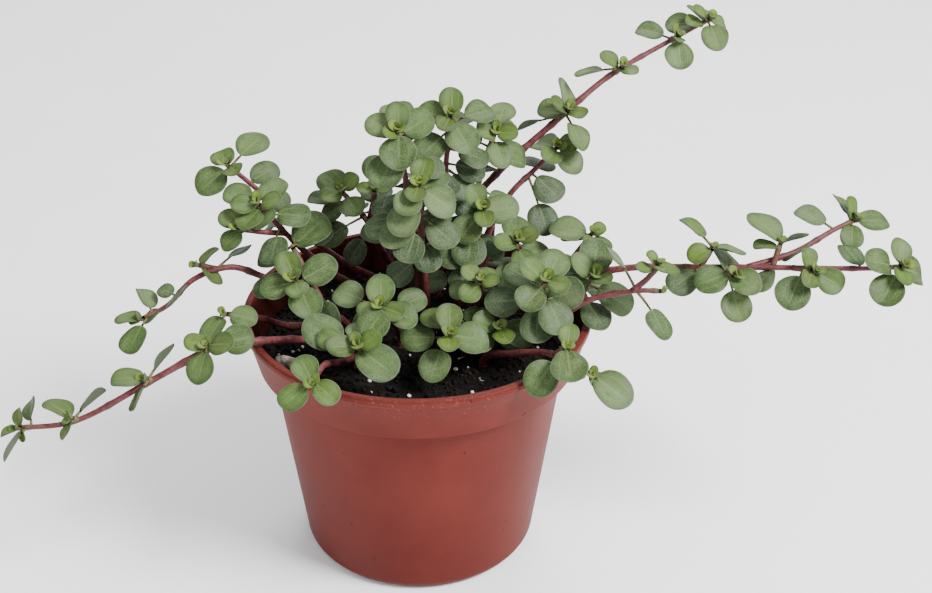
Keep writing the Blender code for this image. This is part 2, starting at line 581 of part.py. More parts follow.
class Leaf:
    """Where one leaf sits: its foot, direction, upper side, size and petiole."""

    def __init__(self, foot, direction, upper, blade, petiole, bend):
        self.foot = foot
        self.direction = direction
        self.upper = (upper - direction * upper.dot(direction)).normalized()
        self.side = self.direction.cross(self.upper)
        self.blade = blade
        self.petiole = petiole
        self.bend = bend

    def point(self, along, across, lift=0):
        """A place on the arched blade, along its midrib and across it."""
        total = self.petiole + self.blade
        curl = self.bend / total
        angle = curl * along
        forward = math.sin(angle) / curl
        down = (1 - math.cos(angle)) / curl
        normal = self.upper * math.cos(angle) + self.direction * math.sin(angle)
        return (self.foot + self.direction * forward - self.upper * down
                + self.side * across + normal * lift)

    def stations(self):
        """Places along the blade with its half width there, foot first."""
        outline = SMALL_OUTLINE
        if self.blade > MIDDLE_BLADE:
            outline = MIDDLE_OUTLINE
        if self.blade > LARGE_BLADE:
            outline = LARGE_OUTLINE
        rows = [(0, PETIOLE_HALF_WIDTH)]
        if self.petiole > LONG_PETIOLE:
            rows.append((self.petiole, PETIOLE_HALF_WIDTH))
        for degrees in outline:
            angle = math.radians(degrees)
            along = self.petiole + self.blade * ((1 - math.cos(angle)) / 2) ** FULL_ALONG
            rows.append((along, self.blade * BLADE_WIDTH / 2 * math.sin(angle) ** FULL_ACROSS))
        return rows

    def solid(self, grow=0, skip=0):
        """The leaf as a closed bmesh, thicker and wider by grow, without its first rows."""
        bm = bmesh.new()
        rows = self.stations()[skip:]
        lift = BLADE_THICKNESS / 2 + grow
        before = None
        faces = []
        for along, half in rows:
            pair = [bm.verts.new(self.point(along, (half + grow) * s, lift)) for s in (-1, 1)]
            if before:
                faces.append(bm.faces.new((before[0], before[1], pair[1], pair[0])))
            before = pair
        tip = bm.verts.new(self.point(self.petiole + self.blade + grow, 0, lift))
        faces.append(bm.faces.new((before[0], before[1], tip)))
        sheet = bmesh.ops.extrude_face_region(bm, geom=faces)["geom"]
        under = [item for item in sheet if isinstance(item, bmesh.types.BMVert)]
        for vert in under:
            vert.co -= self.sheet_normal(vert.co) * 2 * lift
        bmesh.ops.recalc_face_normals(bm, faces=bm.faces)
        return bm

    def sheet_normal(self, place):
        """Upper direction of the arched blade at a place on it."""
        total = self.petiole + self.blade
        forward = (place - self.foot).dot(self.direction)
        angle = self.bend * min(1, max(0, forward / total))
        return self.upper * math.cos(angle) + self.direction * math.sin(angle)


def outside_pot(bm):
    """Whether a blade is clear of the pot's wall and of the soil."""
    for face in bm.faces:
        for place in [face.calc_center_median()] + [v.co for v in face.verts]:
            out = place.xy.length
            if place.z < SOIL_TOP + SOIL_ROOM and out < RIM_RADIUS:
                return False
            if place.z < POT_HEIGHT + MM and WALL_INSIDE < out < RIM_RADIUS + RIM_ROOM:
                return False
    return True


def frame_at(axis, turn):
    """The direction across an axis at a turn, 0 to the right and 90 to the back."""
    reference = Vector((1, -0.5 * axis.x ** 2, -0.3 * axis.x ** 2))
    across = (reference - axis * reference.dot(axis)).normalized()
    other = axis.cross(across)
    return across * math.cos(turn) + other * math.sin(turn)


class Garden:
    """All that has been placed so far, for keeping leaves clear of each other."""

    def __init__(self):
        self.guards = []

    def add(self, name, bm, center, reach):
        """Keep the room that a bmesh takes up."""
        self.guards.append((name, BVHTree.FromBMesh(bm), center, reach))

    def blocked(self, name, bm, center, reach, own):
        """Whether a bmesh crosses what is kept under this name, or else under any other."""
        tree = BVHTree.FromBMesh(bm)
        for other, other_tree, other_center, other_reach in self.guards:
            near = (center - other_center).length < reach + other_reach
            if near and (other == name) == own and tree.overlap(other_tree):
                return True
        return False

    def takes(self, name, leaf):
        """Keep a leaf if it is clear of the pot, the soil and the other plants' leaves."""
        center = leaf.point(leaf.petiole + leaf.blade / 2, 0)
        reach = leaf.petiole + leaf.blade * 0.75
        guard = leaf.solid(LEAF_GUARD)
        outer = leaf.solid(0, skip=1)
        blade = name + " blade"
        clear = (outside_pot(guard)
                 and not self.blocked(name, guard, center, reach, own=False)
                 and not self.blocked(blade, outer, center, reach, own=True))
        if clear:
            self.add(name, guard, center, reach)
            self.add(blade, outer, center, reach)
        guard.free()
        outer.free()
        return clear


def paired_leaves(spray, route, dice):
    """The rule's leaves: for each, a function from a bend to the leaf."""
    for index in range(spray.pairs):
        growth = GROWTH[index]
        if growth.place * MM > route.length - MM:
            return
        for side in (0, 180)[:2 if index else 1]:
            smaller = side == (180 if index % 2 else 0)
            turn = spray.turn + 90 * index + side + dice.uniform(-TURN_SPREAD, TURN_SPREAD)
            lean = growth.lean + dice.uniform(-LEAN_SPREAD, LEAN_SPREAD)
            blade = spray.leaf * growth.size * dice.uniform(1 - SIZE_SPREAD, 1 + SIZE_SPREAD)
            blade *= SMALLER if smaller else 1
            yield pair_leaf(spray, route, growth, turn, lean, blade * MM)


def pair_leaf(spray, route, growth, turn, lean, blade):
    """One leaf of a crossed pair, as a function of how it is bent clear."""
    foot, along = route.at(growth.place * MM)
    outward = Vector((foot.x, foot.y, 0)) * OUTWARD_LEAN
    face = (FACES[spray.face] + outward).normalized()
    axis = face.lerp(along, min(1, growth.place / ROSETTE_REACH)).normalized()

    def make(extra_turn, extra_lean, shrink):
        tilt = math.radians(lean + extra_lean)
        across = frame_at(axis, math.radians(turn + extra_turn))
        direction = axis * math.cos(tilt) + across * math.sin(tilt)
        upper = axis + face * (LIGHT_PULL + LIGHT_PULL_GROWTH * growth.place)
        size = blade * shrink
        arch = BLADE_ARCH + BLADE_ARCH_FOR_PETIOLE * growth.petiole
        return Leaf(foot, direction, upper, size, size * growth.petiole, math.radians(arch))
    return make


def lone_leaf(route, lone):
    """A leaf placed by hand, as a function of how it is bent clear."""
    foot = route.at(lone.place * MM)[0]
    face = FACES["light"]

    def make(extra_turn, extra_lean, shrink):
        tilt = math.radians(lone.lean + extra_lean)
        across = frame_at(face, math.radians(lone.turn + extra_turn))
        direction = face * math.cos(tilt) + across * math.sin(tilt)
        upper = Matrix.Rotation(math.radians(lone.roll), 3, direction) @ face
        return Leaf(foot, direction, upper, lone.blade * MM * shrink, lone.petiole * MM,
                    math.radians(LONE_BLADE_ARCH))
    return make


def grow_leaves(name, spray, route, garden, dice):
    """Place a spray's leaves one by one, each bent clear of what is there."""
    makers = [lone_leaf(route, lone) for lone in spray.lone]
    makers += paired_leaves(spray, route, dice)
    leaves = []
    for make in makers:
        for bend in BENDS:
            leaf = make(*bend)
            if garden.takes(name, leaf):
                leaves.append(leaf)
                break
    return leaves


def guard_stem(name, route, garden):
    """Keep the room along a stem for it."""
    stops = route.stops()
    for stop, after in zip(stops, stops[1:]):
        center = (route.at(stop)[0] + route.at(after)[0]) / 2
        along = route.at((stop + after) / 2)[1]
        tilt = along.to_track_quat("Z", "Y").to_matrix().to_4x4()
        bm = bmesh.new()
        bmesh.ops.create_cone(bm, cap_ends=True, segments=6, radius1=STEM_GUARD,
                              radius2=STEM_GUARD, depth=stop - after,
                              matrix=Matrix.Translation(center) @ tilt)
        garden.add(name, bm, center, (stop - after) / 2 + MM)
        bm.free()


def make_leafy_stems(material):
    """Every rooted stem with its side shoots and leaves, fused to one solid each."""
    routes = {}
    for name, sprays in LEAFY_STEMS.items():
        main = Route(sprays[0])
        routes[name] = [main] + [Route(spray, main) for spray in sprays[1:]]
    garden = Garden()
    for name, own_routes in routes.items():
        for route in own_routes:
            guard_stem(name, route, garden)
    dice = random.Random(SEED)
    for name, sprays in LEAFY_STEMS.items():
        stem, *pieces = [make_tube(f"{name}_{index}", route)
                         for index, route in enumerate(routes[name])]
        for spray, route in zip(sprays, routes[name]):
            for leaf in grow_leaves(name, spray, route, garden, dice):
                pieces.append(add_object(f"{name}_leaf_{len(pieces)}", leaf.solid()))
        combine(stem, pieces, "UNION")
        stem.name = name
        stem.data.materials.clear()
        stem.data.materials.append(material)


def main():
    for obj in list(bpy.data.objects):
        bpy.data.objects.remove(obj)
    make_pot(new_material("terracotta plastic", (0.29, 0.068, 0.049), 0.45))
    soil = make_soil(new_material("potting soil", (0.012, 0.01, 0.009), 0.95))
    make_chip(new_material("pale grit", (0.42, 0.38, 0.33), 0.9), soil)
    make_leafy_stems(new_material("grey green leaf", (0.2, 0.29, 0.14), 0.5))


main()
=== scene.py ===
"""Looks of the potted Pilea glauca: its pot, its soil and its leafy red stems.

The stems follow the same table and rule as the solids, so every leaf and every
run of stem lies inside the node that it replaces.
"""
import math
import random
from collections import namedtuple

import bmesh
import bpy
from mathutils import Matrix, Vector, noise
from mathutils.bvhtree import BVHTree

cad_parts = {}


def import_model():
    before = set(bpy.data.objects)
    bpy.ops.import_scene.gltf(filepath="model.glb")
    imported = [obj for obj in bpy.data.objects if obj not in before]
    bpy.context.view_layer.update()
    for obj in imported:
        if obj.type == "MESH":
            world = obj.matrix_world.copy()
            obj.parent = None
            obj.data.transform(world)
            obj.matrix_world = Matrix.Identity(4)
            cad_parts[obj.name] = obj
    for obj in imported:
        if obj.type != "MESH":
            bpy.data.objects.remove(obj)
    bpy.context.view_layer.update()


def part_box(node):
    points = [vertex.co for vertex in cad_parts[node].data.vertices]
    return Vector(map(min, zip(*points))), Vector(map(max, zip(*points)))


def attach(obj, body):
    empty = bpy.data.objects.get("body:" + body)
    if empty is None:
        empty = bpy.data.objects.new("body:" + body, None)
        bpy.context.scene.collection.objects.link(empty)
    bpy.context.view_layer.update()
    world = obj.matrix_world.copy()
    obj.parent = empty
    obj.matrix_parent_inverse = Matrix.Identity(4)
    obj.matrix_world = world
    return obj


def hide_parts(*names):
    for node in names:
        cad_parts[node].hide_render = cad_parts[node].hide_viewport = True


MM = 0.001
UP = Vector((0, 0, 1))
CLEARANCE = 0.3 * MM

# The pot: a thin moulded shell with a flared band under its rolled lip.
POT_HEIGHT = 61 * MM
RIM_RADIUS = 40 * MM
BAND_HEIGHT = 11.2 * MM
BAND_FOOT_RADIUS = 37.2 * MM
BODY_TOP_RADIUS = 34.2 * MM
BASE_RADIUS = 27.8 * MM
FOOT_ROUND = 3 * MM
LIP_HEIGHT = 2 * MM
LIP_OUT = 0.6 * MM
BAND_SLOPE = (RIM_RADIUS - LIP_OUT - BAND_FOOT_RADIUS) / (BAND_HEIGHT - LIP_HEIGHT)
WALL_LINE = RIM_RADIUS - LIP_OUT - (POT_HEIGHT - LIP_HEIGHT) * BAND_SLOPE
WALL = 1.2 * MM
DRAIN_HOLES = 6
DRAIN_RADIUS = 2.5 * MM
DRAIN_CIRCLE = 19 * MM

# The soil: a plug that fills the pot to a little over its inner ledge.
SOIL_TOP = 52 * MM
SOIL_LUMP = 0.9 * MM
SOIL_LUMP_SPAN = 9 * MM
ROOT_DEPTH = 5 * MM
STEM_FOOT = 2.2 * MM

# The chip: a lump of pale grit that lies at the front left, on the soil.
CHIP_PLACE = Vector((-29.6 * MM, -11.8 * MM, SOIL_TOP + 1.6 * MM))
CHIP_HALF = Vector((3.1 * MM, 1.7 * MM, 1.5 * MM))
CHIP_TURN = math.radians(-30)
CHIP_UNEVEN = 0.22
CHIP_LUMPS = 1.9

# The stems: round, thinner towards the tip.
STEM_RADIUS = 1.1 * MM
TWIG_RADIUS = 0.8 * MM
TIP_RADIUS = 0.56 * MM
STEM_STEP = 7 * MM
# A four-sided tube this much wider has about a round stem's thickness.
SQUARE_SPREAD = 1.2

# The leaves: round blades in crossed pairs, on short petioles.
BLADE_THICKNESS = 0.6 * MM
BLADE_WIDTH = 0.94
BLADE_ARCH = 16
BLADE_ARCH_FOR_PETIOLE = 35
LONE_BLADE_ARCH = 24
PETIOLE_HALF_WIDTH = 0.3 * MM
LEAF_GUARD = 0.35 * MM
STEM_GUARD = 1.3 * MM
SEED = 11

# What a leaf keeps clear of: the soil below it, and the wall from inside it to past the rim.
SOIL_ROOM = 2.2 * MM
WALL_INSIDE = 33 * MM
RIM_ROOM = 1.5 * MM

# One row for each pair, from the tip down: place along the stem in mm, blade
# length as a share of the spray's own, lean away from the stem in degrees, and
# petiole length as a share of the blade.
Growth = namedtuple("Growth", "place size lean petiole")
GROWTH = (
    Growth(0.3, 0.36, 32, 0.06),
    Growth(1.0, 0.72, 58, 0.08),
    Growth(2.0, 0.95, 76, 0.14),
    Growth(4.2, 1.00, 88, 0.26),
    Growth(8.5, 0.95, 94, 0.36),
    Growth(14.0, 0.92, 98, 0.42),
    Growth(20.0, 0.90, 100, 0.42),
    Growth(26.5, 0.88, 100, 0.42),
    Growth(33.5, 0.84, 100, 0.42),
)

# How much a leaf may differ from its row: turn and lean in degrees, and size. One leaf of a
# pair is smaller than the other.
TURN_SPREAD = 10
LEAN_SPREAD = 7
SIZE_SPREAD = 0.05
SMALLER = 0.88

# Where an outline has its points, by the least length of its blade in mm: angles round the
# blade from its foot. The powers make it fuller than an ellipse, along it and across it.
OUTLINES = ((9, (46, 92, 140)), (4.6, (52, 114)), (0, (80,)))
FULL_ALONG = 0.92
FULL_ACROSS = 0.85
LONG_PETIOLE = 3.6 * MM

# A leaf that would cross a neighbour is bent clear: turn and lean in degrees,
# and size, tried in this order.
BENDS = [(turn, lean, size)
         for size in (1, 0.88, 0.76)
         for lean in (0, -16, 16, -30, 30)
         for turn in (0, 16, -16, 32, -32, 46, -46)]

# Where a tip rosette looks: to the light, more to the front, to the sky, out to the left, or
# to the back.
FACES = {
    "light": Vector((0, -0.5, 0.87)),
    "front": Vector((0, -0.72, 0.69)),
    "sky": Vector((0, -0.2, 0.98)),
    "left": Vector((-0.62, -0.5, 0.6)),
    "back": Vector((0, 0.6, 0.8)),
}

# How far it turns outward as well, for each metre from the pot's axis. Leaves further from
# the tip than its reach in mm stand square to the stem, their upper sides still to the light.
OUTWARD_LEAN = 3
ROSETTE_REACH = 9
LIGHT_PULL = 0.4
LIGHT_PULL_GROWTH = 0.1

# A spray is one run of stem with its leaf pairs. Its points are in mm. A rooted
# spray starts at the soil, and a side spray on the spray before all others.
Spray = namedtuple("Spray", "points pairs turn leaf face lone", defaults=(8.4, "light", ()))

# A lone leaf is placed by a row of the spray: place from the tip in mm, turn in
# degrees as the light sees it, blade and petiole in mm, and then roll and lean in degrees.
Lone = namedtuple("Lone", "place turn blade petiole roll lean", defaults=(0, 84))

# The leafy stems, by the name of their node without its first words.
LEAFY_STEMS = {
    "left_rosette": (
        Spray([(-16, 2), (-19, -2, 60), (-23, -5, 66), (-27.5, -8, 73)], 3, 22, 9.2, lone=(
            (2, 291, 8.2, 1.3), (7, 198, 7.4, 6.1), (6, 249, 8.6, 3.7, 50))),
        Spray([(-21, -3, 63), (-26, 2, 71), (-28.5, 4, 75)], 0, 0, lone=(
            (0.4, 88, 10, 0.8, 0, 72), (3, 170, 7.5, 3, 0, 95))),
    ),
    "front_left": (
        Spray([(-9, -8), (-10, -15, 57.5), (-12, -21, 61), (-13.2, -25, 66)], 2, 112, 9.2, lone=(
            (2, 288, 10, 0.4), (1.5, 24, 8, 2.2), (4, 171, 9.8, 4.3), (2, 213, 6.2, 3.1),
            (1, 120, 6.6, 1.3))),
    ),
    "front_middle": (
        Spray([(-4, -2), (-5, -7, 60), (-7, -12, 66), (-8.5, -16, 70.5)], 2, 62, 8.8, lone=(
            (1.5, 90, 7.4, 0.4, 0, 70), (2, 219, 7.6, 1), (2, 339, 7.4, 1.3), (5, 165, 7.8, 5.5),
            (6, 30, 7.4, 3.1))),
    ),
    "front_right": (
        Spray([(5, -6), (5.5, -13, 59), (6, -17, 62.5), (7, -20, 65.5)], 2, -10, 8.8, lone=(
            (1.5, 351, 8.6, 0.7), (4, 249, 8, 3.1), (4.5, 159, 8.2, 2.2), (2, 123, 6.4, 2.2))),
    ),
    "right_rosette": (
        Spray([(20, -2), (24, -7, 61), (26.5, -11, 68), (28, -14, 75.5)], 5, 56, 9, lone=(
            (8, 267, 8.8, 1.6), (9, 327, 8.4, 3.1, 30))),
    ),
    "rim_right": (Spray([(25, 2), (32, -1, 61), (36.5, -4, 66), (39.5, -8, 73)], 5, 75, 9.2),),
    "crown_left": (
        Spray([(-2, 10), (-3, 8, 66), (-2, 5, 86), (-4, 4, 103.5)], 7, -20, 8.8, "front", (
            (2.5, 93, 8.6, 2.6), (1.5, 270, 9, 0.4))),
    ),
    "crown_middle": (
        Spray([(2, 2), (2, 1, 64), (1, 0, 78), (0.5, -2, 93.5)], 7, 10, 8.6, "front", (
            (10, 252, 7.6, 4), (10, 222, 7.6, 5), (9, 300, 8.4, 2.5))),
    ),
    "crown_back": (
        Spray([(5, 20), (8, 15, 70), (6.5, 13, 84), (8, 15, 102.5)], 7, -25, 8.8, "front", (
            (2.5, 24, 7.6, 3.7), (12, 5, 7.6, 2, 0, 88), (14, 312, 7.4, 1.5, 0, 92))),
    ),
    "crown_right": (
        Spray([(10, 16), (12, 13, 70), (15, 16, 87), (18.5, 20, 96)], 7, 75, 8.6, "front", (
            (0.8, 72, 7.2, 2.8),)),
    ),
    "middle": (
        Spray([(9, 6), (10, 4, 66), (12, 4, 77), (15, 4, 84.5)], 7, 5, 8.6, "front", ((7, 262, 9, 0.4),)),
    ),
    "left_back": (
        Spray([(-9, 23), (-18, 20, 62), (-28, 17, 73), (-37, 17, 83), (-44, 20, 88)], 2, 42, 8.8, lone=(
            (1.2, 54, 8.6, 4), (1.2, 221, 8.6, 1.2, 0, 86), (7, 39, 7.6, 0.7), (10, 330, 6.5, 2, 0, 80))),
    ),
    "left_high": (
        Spray([(-13, 18), (-20, 14, 62), (-28, 9, 73), (-36, 7, 84.5)], 6, 92, 8.4, lone=(
            (2, 147, 7.6, 3.1),)),
        Spray([(-30, 8.5, 76), (-36, 5, 78), (-40.5, 4, 79.5)], 3, 30, 7.6),
    ),
    "back_left": (
        Spray([(-4, 26), (-8, 20, 64), (-12, 15, 76), (-17.5, 14, 84)], 6, 125, 8.2, lone=(
            (9, 213, 7.6, 4.6), (5, 195, 6.6, 4.9, 20))),
        Spray([(-11, 16, 74), (-10, 14, 81), (-9.5, 13, 85)], 2, 70, 6, lone=((0.5, 80, 8.6, 1, 0, 78),)),
    ),
    "back_right": (
        Spray([(14, 20), (17, 19, 70), (22, 19, 80), (28, 22, 85), (33.5, 24, 90)], 3, 150, 8.8, "front", (
            (1, 126, 8.2, 0.7), (9, 312, 8.4, 1.6), (10, 288, 8.2, 7), (8, 72, 9.4, 0.4))),
    ),
    "long_back_right": (
        Spray([(9, 26), (13, 24, 74), (20, 24, 84), (34, 28, 95.5), (46, 34, 103.5), (61, 40, 110),
               (71, 44, 114)], 3, 70, 7.2, lone=((3.5, 175, 7.2, 1), (1, 282, 7.6, 1.5))),
        Spray([(34, 28, 95.5), (36, 27, 98)], 2, 65, 8.2, lone=(
            (1, 168, 6.8, 0.4), (1.5, 124, 9, 0.7, 54), (1.5, 294, 8, 3.1, -35),
            (2.5, 180, 6.8, 4.9, 60))),
        Spray([(47, 34.5, 104), (49, 33.5, 106)], 3, 75, 8, lone=((1, 182, 7, 4, 40),)),
        Spray([(61, 40, 110), (63, 39, 111.5)], 2, 20, 5.4, lone=(
            (1.2, 274, 7.6, 1, 0, 92), (2.2, 152, 7.4, 2.2, 10))),
    ),
    "centre_small": (Spray([(13, 2), (14, -3, 63), (14, -8, 72.5)], 4, 65, 6.8),),
    "right_upper": (Spray([(18, 8), (21, 5, 64), (23, 4, 76)], 5, 110, 8.2),),
    "rim_right_upper": (
        Spray([(26, 10), (32, 8, 62.5), (36, 6, 70), (40.5, 7, 76)], 3, 150, 6.4, lone=(
            (1, 158, 9.2, 0.8, 15),)),
    ),
    "over_rim_left": (
        Spray([(-14, -12), (-17, -20, 58.5), (-20, -29, 63.5), (-22, -38, 64.5)], 1, 32, 7.8, lone=(
            (1.2, 219, 6.8, 1.9), (1, 318, 6.4, 0.4), (0.8, 117, 6.8, 0.4))),
    ),
    "over_rim_right": (
        Spray([(15, -12), (21, -19, 59.5), (27, -25, 63.5), (31, -30, 64.6),
               (36.5, -33, 62.6)], 2, 60, 7, lone=((0.5, 322, 9.4, 1.2, 0, 88),)),
        Spray([(29, -28, 64.4), (31.3, -31, 68.5)], 1, 0, 6.4, lone=(
            (0.5, 272, 8.8, 0.6, 0, 86), (2, 232, 8.6, 3.6, 0, 90), (0.3, 80, 5, 0.4, 0, 66))),
    ),
    "long_left": (
        Spray([(-20, -5), (-27, -11, 59), (-36, -19, 63.5), (-44, -22, 64), (-57, -27, 59),
               (-72.5, -32, 52.5), (-85, -34, 52)], 2, 30, 6, "left", (
            (3, 105, 5.6, 1.6, -50), (1, 195, 4.4, 0.4, 40), (2, 234, 7.6, 1.3, 70))),
        Spray([(-44, -22, 64), (-45.5, -23.5, 65.5)], 2, 40, 7, lone=(
            (0.8, 252, 7.6, 1.3, 20, 92), (1, 12, 7.4, 2.8, 20), (0.8, 333, 6.4, 0.4))),
        Spray([(-57, -27, 59), (-58, -27.5, 60)], 1, 15, 7.4, "left", (
            (0.6, 68, 7.6, 2, -75), (0.4, 174, 7.8, 0.6, 25), (0.6, 240, 6.2, 2, 60))),
        Spray([(-72.5, -32, 52.5), (-73.6, -32.4, 53.4)], 1, 80, 7.2, "left", (
            (0.5, 58, 7.4, 2, -75), (0.4, 140, 7.2, 0.6, 35), (0.5, 240, 4.6, 0.8, 50))),
    ),
    "rim_left": (
        Spray([(-23, 2), (-30, -3, 58), (-36.5, -9, 64), (-43, -12, 66.5)], 1, 120, 6, lone=(
            (0.8, 232, 7.2, 0.8, 20, 90), (0.8, 350, 6.4, 0.8, 0, 86))),
    ),
    "long_left_upper": (
        Spray([(-20, 10), (-28, 8, 60), (-36, 6, 66), (-43, 5, 69), (-51, 2, 67.5), (-57, 0, 62),
               (-63, -3, 60)], 2, 55, 8, "left", (
            (3, 105, 6.6, 1.3, 45), (1, 177, 6.4, 0.4, 30), (2, 243, 7.6, 2.8, 20),
            (6, 200, 5.6, 0.4, 40), (10, 150, 4.4, 0.8), (14, 225, 7.4, 0.4, 60),
            (21, 51, 6.4, 4, -45))),
        Spray([(-46, 4.5, 69), (-50.5, 4.5, 70)], 1, 20, 5.6, "left", (
            (1, 63, 5.8, 0.4, -40), (1, 320, 6, 1, -45))),
    ),
    "long_right": (
        Spray([(20, 14), (25, 6, 62), (33, 0, 67.5), (48, -4, 72.5), (63, -7, 74), (73, -9, 75),
               (97, -13, 76.5), (106, -15, 78)], 3, 10, 8.8, lone=(
            (0.8, 236, 8.2, 2.6, 0, 88), (44, 216, 8.2, 1), (9, 111, 7.4, 0.4, 25),
            (28, 220, 7.6, 0.4, 40, 90))),
        Spray([(73, -9, 75), (84, -6, 77), (93.5, -2, 80.5), (99, 0, 82)], 2, 35, 7.6, "sky", (
            (6, 138, 8, 2.2, 20), (13, 204, 7.4, 0.4, 60), (2, 9, 8.4, 1.3, -20),
            (1.5, 294, 6.2, 0.7), (1.5, 84, 7, 1.3, 45))),
        Spray([(79, -7.5, 75.8), (80.5, -7, 80.5)], 1, 30, 5, lone=(
            (0.5, 123, 9.4, 0.4, 25, 78), (0.5, 9, 6, 0.7, -70), (1.5, 171, 5.6, 0.4, 30))),
        Spray([(63, -7, 74), (65.5, -7, 79.5)], 1, 30, 4.4, lone=(
            (0.4, 124, 7.6, 2.6, 40, 80), (0.4, 205, 5.6, 0.8, 0, 88), (0.4, 350, 7.2, 0.4, -45, 80))),
        Spray([(65, -7.5, 74), (70, -13, 75)], 2, 100, 8.6, lone=(
            (2, 198, 8, 0.4), (2, 315, 7.8, 0.4), (2.5, 282, 7.8, 3.7), (2.5, 81, 8.4, 0.4, 30))),
        Spray([(83, -10.5, 76), (87, -14, 76.5)], 2, 150, 7.6, lone=(
            (3, 226, 8.6, 1.8, 0, 90), (1.5, 324, 6.6, 1.9, 20))),
    ),
    "sprout_right": (
        Spray([(22, -9), (30, -11, 62), (37, -12, 68.5), (47, -13, 71.5), (54, -14, 72)], 1, 60, 4.6, lone=(
            (6, 305, 8, 5, -28, 92), (6, 112, 7.6, 5, 60, 70))),
        Spray([(47, -13, 71.5), (50.5, -12.5, 74.5), (53, -12, 78)], 3, 20, 5.4, "sky"),
    ),
    "low_middle": (Spray([(11, -8), (15, -11, 58.5), (18, -14, 63.5)], 4, 40, 8.4),),
    "behind_left": (Spray([(-7, 29), (-6, 31.5, 60), (-5, 34, 69)], 3, 20, 8.4, "back"),),
    "behind_middle": (Spray([(3, 30.5), (4, 33, 61), (5, 35.5, 70.5)], 3, 65, 8.6, "back"),),
    "behind_right": (Spray([(16, 26.5), (18, 28.5, 60), (19, 31, 69.5)], 3, 110, 8.4, "back"),),
    "behind_crown": (Spray([(0, 20), (1, 23, 66), (1.5, 26, 80)], 4, 40, 8.4, "back"),),
}

# The visible pieces: how fine each is.
POT_TURN_STEPS = 144
DRAIN_SIDES = 24
SOIL_TURN_STEPS = 110
SOIL_RING_STEP = 1.1 * MM
BLADE_CELLS = 4
BLADE_LEVELS = 2
STEM_RING_STEP = 1.1 * MM
STEM_SIDES = 8

# The pot's moulded edges: the lip's round, how far in and down the band starts under it, the
# other corners' round, and which angle stays sharp.
LIP_ROUND = 0.7 * MM
BAND_IN = 0.05 * MM
BAND_DOWN = 0.3 * MM
SOFT = 0.4 * MM
SHARP_CORNER = math.radians(40)

# The soil's crumb: height and fineness, coarse and then fine.
SOIL_CRUMB = ((0.35 * MM, 5.1), (0.2 * MM, 13))

# What is strewn over the soil: how many lumps, their smallest and largest half size, their
# height as a share of it, and a seed.
Strewn = namedtuple("Strewn", "count small large height seed")
PEAT_CRUMBS = Strewn(1500, 0.25 * MM, 0.85 * MM, 0.7, 3)
WHITE_GRIT = Strewn(90, 0.22 * MM, 0.62 * MM, 0.75, 8)
LUMP_SQUASH = (0.7, 1.3)
LUMP_STAND = 0.25
LUMP_UNEVEN = 0.28
LUMP_FINENESS = 1.7

# The chip's pits: depth and fineness, coarse and then fine.
CHIP_PITS = ((0.12, 5), (0.06, 13))

# A blade's own form, as shares of its size: cupped when young and domed when old.
LEAF_HALF_THICKNESS = 0.24 * MM
EDGE_THINNER = 0.45
CUP = 0.26
CUP_LOST_WITH_AGE = 0.36
CUP_SPREAD = 0.1
WIDER_TO_TIP = (-0.02, 0.14)
POINTED = (0, 0.05)
OUTLINE_SWELL = (0.035, 0.025)
CREASE_DEPTH = 0.13
CREASE_WIDTH = 0.2
EDGE_WAVE = 0.08
BLADE_LAYERS = ("under", "age", "tone", "along", "across")

# How much older a leaf looks for each mm from the tip, and for each mm of blade above the least. Older is
# also darker, partly as painted shade for the deep leaves far from the tip.
AGE_AND_SHADE_FROM_TIP = 0.06
AGE_FROM_SIZE = 0.052
YOUNGEST_BLADE = 1.5

# The heart of a rosette: turn and lean in degrees, and size as a share of the spray's leaf.
HEART = ((180, 32, 0.34), (90, 15, 0.23), (270, 18, 0.21))
HEART_PLACE = 0.2
HEART_PETIOLE = 0.05

# A stem is swollen at its nodes and green at its tip. A petiole runs in under its blade, and has
# rings from its foot on: radius in mm and share of green.
NODE_REACH = 0.8 * MM
NODE_SPACE = 9 * MM
LAST_NODE = 6 * MM
STEM_SHARE = 0.96
NODE_SWELL = 0.24
GREEN_REACH = 4.5 * MM
GREEN_SHARE = 0.7
PETIOLE_UNDER = 0.12
PETIOLE_DROP = 0.12 * MM
PETIOLE_RINGS = ((0.36, 0.6), (0.32, 0.73), (0.28, 0.86), (0.24, 0.99))

# The photograph's camera, and the soft round lights: place, size across and power.
CAMERA_PLACE = Vector((0, -298.52, 233.43)) * MM
CAMERA_AIM = Vector((11.07, 0, 63.29)) * MM
CAMERA_ROLL = math.radians(0.33)
CAMERA_LENS = 57.94
LIGHTS = {
    "key": ((0.5, -0.32, 0.7), 0.35, 17),
    "fill": ((-0.6, -0.4, 0.5), 0.6, 1.5),
    "back": ((0.1, 0.6, 0.7), 0.5, 5),
}
SKY_COLOR = (0.95, 0.97, 1)
SKY_STRENGTH = 0.9
FLOOR_HALF = 4


class Value:
    """A socket that Python's arithmetic works on: each step adds its Math node."""

    def __init__(self, finish, socket):
        self.finish = finish
        self.socket = socket

    def math(self, operation, *inputs):
        return self.finish.node("ShaderNodeMath", {"operation": operation}, dict(enumerate(inputs)))

    def __add__(self, other):
        return self.math("ADD", self, other)

    def __sub__(self, other):
        return self.math("SUBTRACT", self, other)

    def __rsub__(self, other):
        return self.math("SUBTRACT", other, self)

    def __mul__(self, other):
        return self.math("MULTIPLY", self, other)

    __rmul__ = __mul__

    def fade(self, low, high, out_low=0.0, out_high=1.0):
        """The value's span carried smoothly to another span, and held at its ends."""
        inputs = {"Value": self, 1: low, 2: high, 3: out_low, 4: out_high}
        return self.finish.node("ShaderNodeMapRange", {"interpolation_type": "SMOOTHSTEP"}, inputs)


